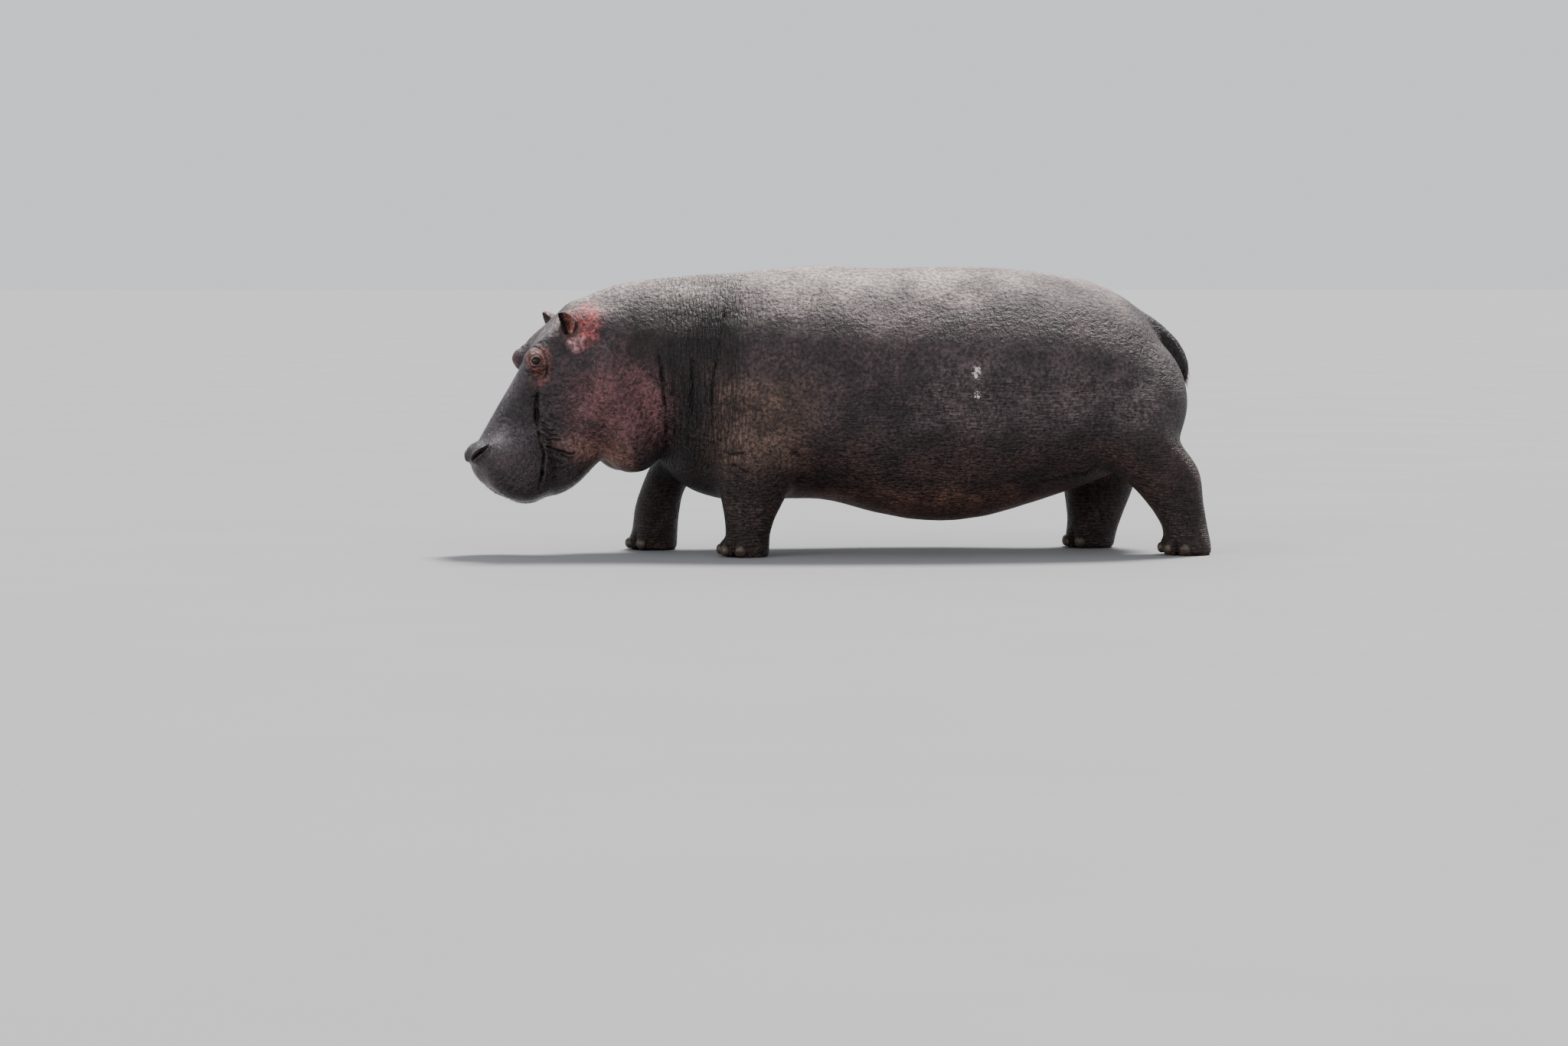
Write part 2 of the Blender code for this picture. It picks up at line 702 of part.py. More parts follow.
def main():
    """Builds the whole animal."""
    clear_scene()
    pieces = parted_flesh()
    add_small_pieces(pieces)
    finish_all(pieces)
    centre_on_floor(pieces)


if __name__ == "__main__":
    main()
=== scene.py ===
"""The looks of a still, life-size hippopotamus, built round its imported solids.

One skin stands for all the flesh: the solids are fused, their facets are relaxed away, folds, lids,
nostrils and toes are sculpted into it, and the ears are drawn out of it. Eyes, nails and bristles
are pieces of their own. All places are in metres in the frame's own axes: the animal faces -X, its
left side is -Y and it stands on z = 0.
"""

import json
import logging
import math
from collections.abc import Callable
from dataclasses import dataclass, field
from enum import Enum

import bmesh
import bpy
import numpy as np
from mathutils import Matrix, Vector
from mathutils.kdtree import KDTree

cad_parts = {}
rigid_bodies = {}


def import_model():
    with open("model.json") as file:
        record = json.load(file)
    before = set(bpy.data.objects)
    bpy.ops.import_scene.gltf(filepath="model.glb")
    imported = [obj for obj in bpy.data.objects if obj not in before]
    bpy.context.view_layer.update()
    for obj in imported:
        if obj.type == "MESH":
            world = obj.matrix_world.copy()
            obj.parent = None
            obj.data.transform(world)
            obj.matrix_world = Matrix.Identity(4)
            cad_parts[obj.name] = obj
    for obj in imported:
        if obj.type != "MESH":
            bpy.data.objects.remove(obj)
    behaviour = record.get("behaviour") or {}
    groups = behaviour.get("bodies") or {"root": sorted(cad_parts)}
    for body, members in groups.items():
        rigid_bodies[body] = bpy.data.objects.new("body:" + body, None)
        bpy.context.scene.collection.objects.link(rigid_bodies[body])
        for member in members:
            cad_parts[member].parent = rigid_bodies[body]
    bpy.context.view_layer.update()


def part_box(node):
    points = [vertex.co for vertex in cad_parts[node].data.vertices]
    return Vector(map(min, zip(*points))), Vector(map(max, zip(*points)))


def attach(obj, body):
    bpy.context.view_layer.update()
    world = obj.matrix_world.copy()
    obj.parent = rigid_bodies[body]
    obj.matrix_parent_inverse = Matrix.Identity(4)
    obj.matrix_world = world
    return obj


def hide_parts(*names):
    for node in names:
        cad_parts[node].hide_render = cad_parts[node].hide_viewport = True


LOG = logging.getLogger("hippopotamus")
BAKE_MAP = "OFBake"
BODY = "root"
Array = np.ndarray
Socket = bpy.types.NodeSocket
Colour = tuple[float, float, float, float]

LEGS = ("front_left", "front_right", "hind_left", "hind_right")
FLESH = ("trunk", "neck", "head", "lower_jaw", "tail") + tuple(
    f"{part}_{leg}" for leg in LEGS for part in ("leg", "foot")
)
NAILS = (1, 2, 3, 4)  # the numbers of the nails on a foot

EYE_AT = (0.266, -0.062)  # where the eyes lie in the head's axes
HEAD_LINE = (0.25, -0.02)  # the head starts where u plus the first share of v passes the second
BEYOND = 9.0  # what a zone holds where it doesn't reach


class Side(Enum):
    """The animal's two sides, with the sign that y has there."""

    LEFT = -1
    RIGHT = 1

    def mirrored(self, place: Array | tuple) -> Array:
        """Places of the right side in the head's axes, moved to this side."""
        return np.array(place) * (1.0, 1.0, float(self.value))


# ---- small mathematics ----
def smooth_step(values: Array, low: float, high: float) -> Array:
    """A soft rise from 0 at low to 1 at high.

    Args:
        values: Where to read it.
        low: Where it leaves 0.
        high: Where it reaches 1, which may lie below low.

    Returns:
        The rise at each value.
    """
    share = np.clip((values - low) / (high - low), 0.0, 1.0)
    return share * share * (3.0 - 2.0 * share)


def band(values: Array, start: float, full: float, fade: float, end: float) -> Array:
    """1 from full to fade, running out softly to 0 at start and at end."""
    return smooth_step(values, start, full) * smooth_step(values, end, fade)


def hill(distance: Array, reach: float) -> Array:
    """A soft round hill, 1 at no distance and about 0 past twice the reach."""
    return np.exp(-((distance / reach) ** 2))


def lengths(vectors: Array) -> Array:
    """The length of each row."""
    return np.sqrt((vectors * vectors).sum(axis=1))


def unit(vectors: Array) -> Array:
    """Each row made one long."""
    return vectors / np.maximum(lengths(vectors), 1e-12)[:, None]


def square_to(direction: Array, axis: Array) -> Array:
    """The part of a direction that is square to an axis, made one long."""
    part = direction - axis * (direction @ axis)
    return part / np.linalg.norm(part)


def along_path(points: Array, path: Array) -> tuple[Array, Array, Array]:
    """How points lie beside a path.

    Args:
        points: One point in each row.
        path: The path's corners, in as many dimensions as the points.

    Returns:
        The distance of each point, how far along the path its nearest place is from 0 to 1, and in
        two dimensions the side that it lies on, as a signed distance.
    """
    legs = np.diff(path, axis=0)
    sizes = lengths(legs)
    starts = np.concatenate(([0.0], np.cumsum(sizes)))
    best = np.full(len(points), np.inf)
    place = np.zeros(len(points))
    beside = np.zeros(len(points))
    for start, leg, size, begun in zip(path, legs, sizes, starts):
        to_point = points - start
        share = np.clip(to_point @ leg / size**2, 0.0, 1.0)
        away = lengths(to_point - share[:, None] * leg)
        nearer = away < best
        best = np.where(nearer, away, best)
        place = np.where(nearer, (begun + share * size) / starts[-1], place)
        if points.shape[1] == 2:
            turn = np.sign(leg[0] * to_point[:, 1] - leg[1] * to_point[:, 0])
            beside = np.where(nearer, turn * away, beside)
    return best, place, beside


class Lattice:
    """Soft random values in space, from a fixed block of numbers that repeats."""

    COUNT = 32  # numbers along each of the block's edges

    def __init__(self, seed: int) -> None:
        """Fills the block that the seed stands for."""
        self.block = np.random.default_rng(seed).random((self.COUNT,) * 3) * 2.0 - 1.0

    def read(self, points: Array, size: float) -> Array:
        """The value at each point, from -1 to 1.

        Args:
            points: Places in space.
            size: How far apart the block's numbers lie there.

        Returns:
            One value for each point.
        """
        grid = points / size
        corner = np.floor(grid).astype(int)
        share = grid - corner
        share = share * share * (3.0 - 2.0 * share)
        total = np.zeros(len(points))
        for dx in (0, 1):
            for dy in (0, 1):
                for dz in (0, 1):
                    weight = np.abs(1 - dx - share[:, 0])
                    weight = weight * np.abs(1 - dy - share[:, 1])
                    weight = weight * np.abs(1 - dz - share[:, 2])
                    spot = (corner + (dx, dy, dz)) % self.COUNT
                    total += weight * self.block[spot[:, 0], spot[:, 1], spot[:, 2]]
        return total


# ---- where things are on the animal ----
@dataclass(frozen=True)
class Pose:
    """The animal's own coordinates: its neck and head before they turn, and the head's own axes."""

    root: tuple[float, float]  # x and z of the head's origin, on the crown between the ears
    turn: float = 10.5  # degrees that the head is turned to the left
    pitch: float = 59.2  # degrees that the snout points below the horizon
    bend: tuple[float, float] = (-0.4395, -0.9895)  # where along x the neck starts and stops turning

    @classmethod
    def from_eyes(cls, left: tuple, right: tuple) -> "Pose":
        """Places the head by the two eyes.

        Args:
            left: The lowest and highest corners of the left eye.
            right: The same of the right eye.

        Returns:
            The pose.
        """
        middle = np.array([(left[0] + left[1]) / 2, (right[0] + right[1]) / 2]).mean(axis=0)
        level = cls(root=(0.0, 0.0))
        x, _, z = level.straight(middle[None, :])[0]
        dx, _, dz = level.head_to_world(np.array([[*EYE_AT, 0.0]]))[0]
        return cls(root=(x - dx, z - dz))

    @property
    def pivot(self) -> float:
        """Where along x the turned head's axis crosses the straight one."""
        return sum(self.bend) / 2

    @property
    def snout(self) -> tuple[float, float]:
        """How far forwards and downwards one step down the snout goes."""
        return math.cos(math.radians(self.pitch)), math.sin(math.radians(self.pitch))

    def swung(self, points: Array, angle: Array) -> Array:
        """Points swung about the neck's upright axis, each by its own angle.

        Args:
            points: Places in space.
            angle: One angle for each.

        Returns:
            The swung places.
        """
        x, y = points[:, 0] - self.pivot, points[:, 1]
        c, s = np.cos(angle), np.sin(angle)
        return np.stack((self.pivot + x * c - y * s, x * s + y * c, points[:, 2]), axis=1)

    def straight(self, points: Array) -> Array:
        """Points of the standing animal, moved to where they'd be with the neck not turned.

        Args:
            points: Places in the frame.

        Returns:
            The places before the turn.
        """
        found = points.copy()
        for _ in range(6):
            found = self.swung(points, -np.radians(self.turn) * smooth_step(found[:, 0], *self.bend))
        return found

    def turned(self, points: Array) -> Array:
        """The opposite of straight.

        Args:
            points: Places before the turn.

        Returns:
            The places in the frame.
        """
        return self.swung(points, np.radians(self.turn) * smooth_step(points[:, 0], *self.bend))

    def head(self, straight: Array) -> Array:
        """Places in the head's axes: down the snout, towards the throat, and across to the right.

        Args:
            straight: Places before the turn.

        Returns:
            The places in the head's axes.
        """
        c, s = self.snout
        x, z = straight[:, 0] - self.root[0], straight[:, 2] - self.root[1]
        return np.stack((-x * c - z * s, x * s - z * c, straight[:, 1]), axis=1)

    def head_to_world(self, local: Array) -> Array:
        """The opposite of head and straight together.

        Args:
            local: Places in the head's axes.

        Returns:
            The places in the frame.
        """
        c, s = self.snout
        u, v, w = local.T
        x = self.root[0] - u * c + v * s
        z = self.root[1] - u * s - v * c
        return self.turned(np.stack((x, w, z), axis=1))


# ---- folds of the hide ----
@dataclass(frozen=True)
class Crease:
    """A fold line, pressed into the hide on both sides of the animal.

    Its path lies in the side view: (down the snout, towards the throat) on the head, or (x, z) on
    the body. Beside the line the hide may roll up, on the right or the left of the way it runs.
    """

    path: tuple
    width: float
    depth: float
    roll: tuple[float, float] = (0.0, 0.0)  # heights of the rolls on its two sides
    roll_width: float = 0.025
    fade: float = 0.18  # share of its length over which each end runs out
    apart: float = 0.0  # it keeps this far from the middle plane
    apart_edge: float = 0.03  # and comes in over this distance

    def pressed(self, flat: Array, side: Array) -> tuple[Array, Array, Array]:
        """What the fold does to the hide.

        Args:
            flat: Places in the side view.
            side: Their distance across, negative on the left.

        Returns:
            The rows that it touches, how far they move outwards, and how deep in the fold they lie
            from 0 to 1.
        """
        path = np.array(self.path)
        reach = max(3 * self.width, 3 * self.roll_width * float(any(self.roll)))
        inside = (flat > path.min(axis=0) - reach).all(axis=1)
        inside &= (flat < path.max(axis=0) + reach).all(axis=1)
        rows = np.nonzero(inside & (side != 0.0))[0]
        if not len(rows):
            return rows, np.zeros(0), np.zeros(0)
        away, place, beside = along_path(flat[rows], path)
        ends = band(place, 0.0, self.fade, 1.0 - self.fade, 1.0)
        if self.apart:
            ends = ends * smooth_step(np.abs(side[rows]), self.apart, self.apart + self.apart_edge)
        deep = hill(away, self.width) * ends
        move = -self.depth * deep
        # how dark the fold's painted shade is: faint in wide, shallow folds
        deep = deep * min(1.0, (self.depth / self.width) ** 1.5)
        for height, sign in zip(self.roll, (1.0, -1.0)):
            offset = np.maximum(sign * beside, 0.0)
            rise = smooth_step(offset, 0.0, self.roll_width * 0.6)
            move += height * ends * rise * hill(offset, self.roll_width * 1.3)
        return rows, move, deep


HEAD_CREASES = (
    # the valley under the eye, which narrows to the rear edge of the muzzle's pad
    Crease(
        ((0.346, 0.030), (0.380, 0.026), (0.416, 0.044), (0.459, 0.067), (0.502, 0.090), (0.541, 0.118)),
        0.013, 0.0130, roll=(0.005, 0.0), roll_width=0.030, fade=0.35, apart=0.06,
    ),
    Crease(((0.372, 0.022), (0.404, 0.036), (0.436, 0.055)), 0.0045, 0.0060, fade=0.35),
    Crease(((0.428, 0.053), (0.459, 0.069), (0.502, 0.090), (0.541, 0.118)), 0.0045, 0.0070, fade=0.35),
    Crease(
        ((0.502, 0.090), (0.541, 0.118), (0.573, 0.146), (0.598, 0.173), (0.627, 0.196), (0.663, 0.212),
         (0.706, 0.228), (0.752, 0.246), (0.800, 0.272)),
        0.0055, 0.0175, roll=(0.0075, 0.002), roll_width=0.030, fade=0.20,
    ),
    # folds that run down the side of the snout ahead of it
    Crease(((0.386, 0.010), (0.439, 0.031), (0.479, 0.048), (0.524, 0.054), (0.560, 0.050)), 0.007, 0.0030),
    Crease(((0.400, -0.012), (0.460, 0.008), (0.520, 0.020), (0.570, 0.018)), 0.006, 0.0024),
    Crease(((0.470, 0.052), (0.520, 0.078), (0.560, 0.098), (0.600, 0.128)), 0.006, 0.0020),
    Crease(((0.590, -0.064), (0.560, -0.048), (0.552, -0.020), (0.560, 0.006)), 0.006, 0.0022, apart=0.05),
    Crease(((0.610, -0.058), (0.582, -0.036), (0.578, -0.010), (0.590, 0.012)), 0.006, 0.0020, apart=0.05),
    # wrinkles behind the corner of the mouth
    Crease(
        ((0.500, 0.098), (0.494, 0.120), (0.502, 0.140), (0.494, 0.160)),
        0.0042, 0.0047, roll=(0.002, 0.001),
    ),
    Crease(
        ((0.516, 0.108), (0.510, 0.132), (0.514, 0.160), (0.500, 0.196)),
        0.0040, 0.0053, roll=(0.001, 0.002),
    ),
    Crease(
        ((0.530, 0.114), (0.524, 0.146), (0.528, 0.180), (0.512, 0.222)),
        0.0050, 0.0087, roll=(0.002, 0.001),
    ),
    Crease(((0.545, 0.128), (0.548, 0.152), (0.536, 0.182)), 0.0035, 0.0034),
    Crease(
        ((0.556, 0.132), (0.554, 0.168), (0.544, 0.200), (0.524, 0.236)),
        0.0048, 0.0068, roll=(0.002, 0.002),
    ),
    Crease(((0.574, 0.152), (0.568, 0.186), (0.552, 0.214)), 0.0036, 0.0040),
    Crease(
        ((0.590, 0.170), (0.578, 0.214), (0.572, 0.256), (0.552, 0.304), (0.530, 0.330)),
        0.0058, 0.0112, roll=(0.003, 0.002), roll_width=0.012,
    ),
    Crease(
        ((0.608, 0.190), (0.590, 0.240), (0.577, 0.294), (0.566, 0.330)),
        0.0048, 0.0071, roll=(0.001, 0.002),
    ),
    Crease(((0.600, 0.216), (0.596, 0.262), (0.584, 0.300)), 0.0038, 0.0034),
    Crease(((0.632, 0.206), (0.616, 0.262), (0.610, 0.312)), 0.0050, 0.0056, roll=(0.001, 0.001)),
    Crease(((0.664, 0.222), (0.650, 0.276), (0.630, 0.330)), 0.0055, 0.0040),
    Crease(((0.705, 0.238), (0.694, 0.290), (0.668, 0.340)), 0.0055, 0.0034),
    Crease(((0.640, 0.300), (0.618, 0.322), (0.622, 0.350), (0.648, 0.356), (0.664, 0.332)), 0.0050, 0.0034),
    Crease(
        ((0.440, 0.130), (0.452, 0.160), (0.446, 0.190), (0.470, 0.210)),
        0.0065, 0.0053, roll=(0.002, 0.002),
    ),
    Crease(((0.462, 0.118), (0.474, 0.140), (0.470, 0.168)), 0.0050, 0.0040),
    Crease(((0.369, 0.057), (0.398, 0.076), (0.434, 0.088)), 0.0075, 0.0053),
    Crease(((0.390, 0.100), (0.420, 0.112), (0.452, 0.108)), 0.0075, 0.0040),
    Crease(((0.520, 0.260), (0.560, 0.315), (0.600, 0.350)), 0.0060, 0.0028),
    Crease(((0.440, 0.225), (0.470, 0.262), (0.500, 0.300), (0.520, 0.350)), 0.0070, 0.0028),
    # a shallow valley from the throat up the cheek
    Crease(((0.500, 0.430), (0.440, 0.400), (0.370, 0.365), (0.300, 0.330)), 0.026, 0.010, fade=0.4),
    Crease(((0.482, 0.570), (0.455, 0.535), (0.410, 0.500)), 0.012, 0.006, fade=0.4),
    Crease(((0.420, 0.600), (0.395, 0.560), (0.350, 0.520)), 0.012, 0.004, fade=0.4),
    # rings round the eye
    Crease(
        ((0.316, -0.080), (0.302, -0.102), (0.280, -0.118), (0.250, -0.120), (0.222, -0.106), (0.206, -0.080),
         (0.204, -0.052), (0.216, -0.026)),
        0.0046, 0.0040, roll=(0.002, 0.002), roll_width=0.009, fade=0.22, apart=0.115,
    ),
    Crease(
        ((0.296, -0.106), (0.310, -0.088), (0.322, -0.068), (0.332, -0.048), (0.350, -0.026)),
        0.0055, 0.0090, roll=(0.003, 0.001), roll_width=0.012, fade=0.25, apart=0.06,
    ),
    Crease(
        ((0.205, -0.060), (0.214, -0.040), (0.232, -0.018), (0.260, 0.000), (0.290, 0.012), (0.322, 0.024)),
        0.0048, 0.0042, roll=(0.002, 0.002), roll_width=0.012, fade=0.30,
    ),
    Crease(
        ((0.226, -0.036), (0.246, -0.014), (0.276, -0.004), (0.300, -0.016), (0.312, -0.040)),
        0.0040, 0.0032,
    ),
    Crease(((0.290, 0.000), (0.306, -0.010), (0.318, -0.028)), 0.0036, 0.0026),
    Crease(((0.300, 0.020), (0.324, 0.008), (0.336, -0.016)), 0.0036, 0.0026),
    Crease(((0.196, -0.096), (0.182, -0.084), (0.188, -0.062)), 0.0045, 0.0030, apart=0.09),
    Crease(((0.182, -0.088), (0.168, -0.072), (0.172, -0.046)), 0.0045, 0.0022, apart=0.09),
    # behind and below the ear
    Crease(((0.100, 0.004), (0.094, 0.036), (0.060, 0.052), (0.020, 0.040), (-0.004, 0.010)), 0.007, 0.0050),
    Crease(((0.118, 0.020), (0.112, 0.056), (0.076, 0.078), (0.030, 0.072)), 0.007, 0.0026),
    Crease(((0.165, 0.130), (0.140, 0.175), (0.100, 0.205)), 0.009, 0.0018),
    Crease(((0.190, 0.105), (0.172, 0.150), (0.140, 0.190)), 0.008, 0.0016),
)

BODY_CREASES = (
    # between the jowl and the neck
    Crease(
        ((-0.905, 1.060), (-0.908, 0.950), (-0.900, 0.870), (-0.883, 0.790), (-0.872, 0.705), (-0.860, 0.600),
         (-0.852, 0.490), (-0.862, 0.420)),
        0.0065, 0.0115, roll=(0.002, 0.006), roll_width=0.032, fade=0.35,
    ),
    Crease(
        ((-0.840, 0.900), (-0.832, 0.720), (-0.822, 0.600), (-0.815, 0.500)),
        0.006, 0.005, roll=(0.002, 0.002),
    ),
    Crease(((-0.795, 0.760), (-0.790, 0.660), (-0.786, 0.560)), 0.006, 0.0035),
    # between the neck and the shoulder
    Crease(
        ((-0.742, 1.060), (-0.738, 0.910), (-0.735, 0.800), (-0.740, 0.705), (-0.742, 0.620),
         (-0.738, 0.500)),
        0.0080, 0.0105, roll=(0.004, 0.004), roll_width=0.034, fade=0.35,
    ),
    Crease(((-0.705, 0.950), (-0.700, 0.800), (-0.706, 0.680), (-0.700, 0.560)), 0.006, 0.0050, fade=0.3),
    Crease(((-0.670, 0.900), (-0.668, 0.760), (-0.672, 0.640)), 0.006, 0.0035, fade=0.3),
    Crease(
        ((-0.540, 1.290), (-0.553, 1.180), (-0.565, 1.068), (-0.596, 0.945), (-0.624, 0.820), (-0.628, 0.640),
         (-0.604, 0.495)),
        0.0070, 0.0065, roll=(0.002, 0.004), roll_width=0.030, fade=0.25,
    ),
    # over the elbow and round the top of the front leg
    Crease(
        ((-0.600, 0.500), (-0.560, 0.495), (-0.500, 0.488), (-0.440, 0.492)),
        0.007, 0.006, roll=(0.002, 0.002),
    ),
    Crease(((-0.560, 0.460), (-0.500, 0.425), (-0.420, 0.388), (-0.330, 0.340)), 0.006, 0.0035),
    Crease(((-0.570, 0.425), (-0.500, 0.385), (-0.420, 0.345), (-0.330, 0.300)), 0.006, 0.0035),
    Crease(((-0.570, 0.375), (-0.500, 0.338), (-0.420, 0.305), (-0.320, 0.268)), 0.006, 0.0030),
    Crease(((-0.560, 0.320), (-0.490, 0.290), (-0.400, 0.262), (-0.320, 0.240)), 0.006, 0.0028),
    Crease(((-0.250, 0.560), (-0.200, 0.470), (-0.190, 0.380), (-0.215, 0.300)), 0.016, 0.012, fade=0.35),
    # the fold from the belly to the thigh
    Crease(
        ((0.900, 0.330), (0.981, 0.356), (1.060, 0.374), (1.165, 0.390), (1.230, 0.440)),
        0.010, 0.018, roll=(0.012, 0.0), roll_width=0.030, fade=0.3,
    ),
    Crease(((1.150, 0.470), (1.190, 0.560), (1.215, 0.680)), 0.020, 0.008, fade=0.4),
    # on the hock and the rear of the thigh
    Crease(((1.500, 0.300), (1.580, 0.262), (1.680, 0.250)), 0.007, 0.005),
    Crease(((1.480, 0.345), (1.570, 0.312), (1.690, 0.300)), 0.007, 0.004),
    Crease(((1.460, 0.400), (1.550, 0.372), (1.660, 0.372)), 0.007, 0.0035),
    Crease(((1.500, 0.235), (1.590, 0.205), (1.700, 0.195)), 0.006, 0.0035),
    Crease(((1.560, 0.560), (1.600, 0.500), (1.650, 0.470)), 0.010, 0.006),
)

NOSTRIL = (
    # the slit of the right nostril in the head's axes, from its rear end to its front end
    (0.716, -0.046, 0.146), (0.738, -0.050, 0.136), (0.765, -0.060, 0.122), (0.792, -0.068, 0.106),
    (0.812, -0.068, 0.092),
)


# ---- mesh work shared by the pieces ----
def object_from(name: str, shape: bmesh.types.BMesh) -> bpy.types.Object:
    """A new smooth-shaded object that takes over a bmesh.

    Args:
        name: The piece's name.
        shape: Its mesh, which is freed.

    Returns:
        The object, at the origin.
    """
    mesh = bpy.data.meshes.new(name)
    shape.to_mesh(mesh)
    shape.free()
    mesh.shade_smooth()
    piece = bpy.data.objects.new(name, mesh)
    bpy.context.collection.objects.link(piece)
    return piece


def apply_modifier(piece: bpy.types.Object, kind: str, **settings: object) -> None:
    """Adds one modifier and leaves its result in the object's mesh.

    Args:
        piece: The object.
        kind: The modifier's type.
        **settings: Its values.
    """
    modifier = piece.modifiers.new(kind, kind)
    for key, value in settings.items():
        setattr(modifier, key, value)
    bake_modifiers(piece)


def bake_modifiers(piece: bpy.types.Object) -> None:
    """Replaces the mesh by what the modifiers make of it, and removes them.

    Args:
        piece: The object.
    """
    graph = bpy.context.evaluated_depsgraph_get()
    mesh = bpy.data.meshes.new_from_object(piece.evaluated_get(graph))
    piece.modifiers.clear()
    old = piece.data
    piece.data = mesh
    bpy.data.meshes.remove(old)


def read_points(mesh: bpy.types.Mesh) -> Array:
    """The mesh's points, one in each row.

    Args:
        mesh: The mesh.

    Returns:
        The places.
    """
    flat = np.zeros(len(mesh.vertices) * 3)
    mesh.vertices.foreach_get("co", flat)
    return flat.reshape(-1, 3)


def write_points(mesh: bpy.types.Mesh, points: Array) -> None:
    """Moves the mesh's points."""
    mesh.vertices.foreach_set("co", points.astype(np.float32).ravel())
    mesh.update()


def read_edges(mesh: bpy.types.Mesh) -> Array:
    """The two points of each edge, by number.

    Args:
        mesh: The mesh.

    Returns:
        One edge in each row.
    """
    flat = np.zeros(len(mesh.edges) * 2, np.int64)
    mesh.edges.foreach_get("vertices", flat)
    return flat.reshape(-1, 2)


def read_corners(mesh: bpy.types.Mesh) -> Array:
    """The point at each corner of each face, by number.

    Args:
        mesh: The mesh.

    Returns:
        One number for each corner.
    """
    corners = np.zeros(len(mesh.loops), np.int32)
    mesh.loops.foreach_get("vertex_index", corners)
    return corners


def read_normals(mesh: bpy.types.Mesh) -> Array:
    """The direction outwards at each point.

    Args:
        mesh: The mesh.

    Returns:
        The directions, each one long.
    """
    flat = np.zeros(len(mesh.vertices) * 3, np.float32)
    mesh.vertex_normals.foreach_get("vector", flat)
    return flat.reshape(-1, 3).astype(float)


def store(mesh: bpy.types.Mesh, name: str, values: Array) -> None:
    """Keeps one number, colour or direction for each point in the mesh.

    Args:
        mesh: The mesh.
        name: The attribute's name.
        values: A number for each point, or a row of three for a direction or four for a colour.
    """
    kinds = {1: ("FLOAT", "value"), 3: ("FLOAT_VECTOR", "vector"), 4: ("FLOAT_COLOR", "color")}
    kind, key = kinds[1 if values.ndim == 1 else values.shape[1]]
    if name in mesh.attributes:
        mesh.attributes.remove(mesh.attributes[name])
    attribute = mesh.attributes.new(name, kind, "POINT")
    attribute.data.foreach_set(key, values.astype(np.float32).ravel())


class Relaxer:
    """Evens out a mesh by moving each point towards its neighbours."""

    def __init__(self, mesh: bpy.types.Mesh) -> None:
        """Notes which points are neighbours.

        Args:
            mesh: The mesh.
        """
        pairs = read_edges(mesh)
        both = np.concatenate((pairs, pairs[:, ::-1]))
        both = both[np.argsort(both[:, 0], kind="stable")]
        self.neighbours = both[:, 1]
        counts = np.bincount(both[:, 0], minlength=len(mesh.vertices))
        self.starts = np.concatenate(([0], np.cumsum(counts)[:-1]))
        self.counts = counts[:, None]

    def relax(self, points: Array, passes: int, strength: Array | float) -> Array:
        """Moves each point towards the middle of its neighbours.

        Args:
            points: Where the points are.
            passes: How many passes.
            strength: How far each point moves in one, from 0 to 1.

        Returns:
            Where they are afterwards.
        """
        if isinstance(strength, np.ndarray):
            strength = strength[:, None]
        for _ in range(passes):
            means = np.add.reduceat(points[self.neighbours], self.starts, axis=0) / self.counts
            points = points + (means - points) * strength
        return points

    def unfacet(self, points: Array, passes: int, strength: Array | float) -> Array:
        """Relaxes facets away and gives back what the broad forms lose by it.

        Args:
            points: Where the points are.
            passes: How many passes.
            strength: How far each point moves in one, from 0 to 1.

        Returns:
            Where they are afterwards.
        """
        once = self.relax(points, passes, strength)
        twice = self.relax(once, passes, strength)
        return 2.0 * once - twice


# ---- the hide ----
@dataclass
class EyePlan:
    """One eyeball, the way it looks out, and the opening between its lids."""

    centre: Array
    radius: float
    outwards: Array
    forwards: Array
    upwards: Array
    half_length: float = 0.0175  # of the opening between the lids
    half_height: float = 0.0152
    lid_gap: float = 0.0014  # how far the lids stay off the ball
    lid_rise: float = 0.0042  # how much further their rims stand out
    tucked: float = 0.0080  # how deep below the ball's face the hide lies in the opening
    furrow: float = 0.0028  # depth of the furrow round the lids
    outer_roll: float = 0.0018  # height of the roll outside the furrow

    @classmethod
    def from_box(cls, box: tuple, pose: Pose, side: Side) -> "EyePlan":
        """Reads an eye from its node.

        Args:
            box: The node's lowest and highest corners.
            pose: The animal's pose.
            side: Which eye it is.

        Returns:
            The plan.
        """
        low, high = np.array(box[0]), np.array(box[1])
        middle = (low + high) / 2
        angle = math.radians(pose.turn)
        across = np.array([-math.sin(angle), math.cos(angle), 0.0]) * side.value
        ahead = np.array([-math.cos(angle), -math.sin(angle), 0.0])
        outwards = across + 0.16 * ahead + 0.10 * np.array([0.0, 0.0, 1.0])
        outwards /= np.linalg.norm(outwards)
        forwards = square_to(ahead, outwards)
        upwards = np.cross(outwards, forwards) * side.value
        return cls(middle, float((high - low).max() / 2), outwards, forwards, upwards)

    def opening(self, points: Array) -> Array:
        """Below 1 between the lids and above 1 outside them.

        Args:
            points: Places near the eye.

        Returns:
            The value at each place.
        """
        away = points - self.centre
        across = (away @ self.forwards) / self.half_length
        high = (away @ self.upwards) / self.half_height
        return np.sqrt(across**2 + high**2)


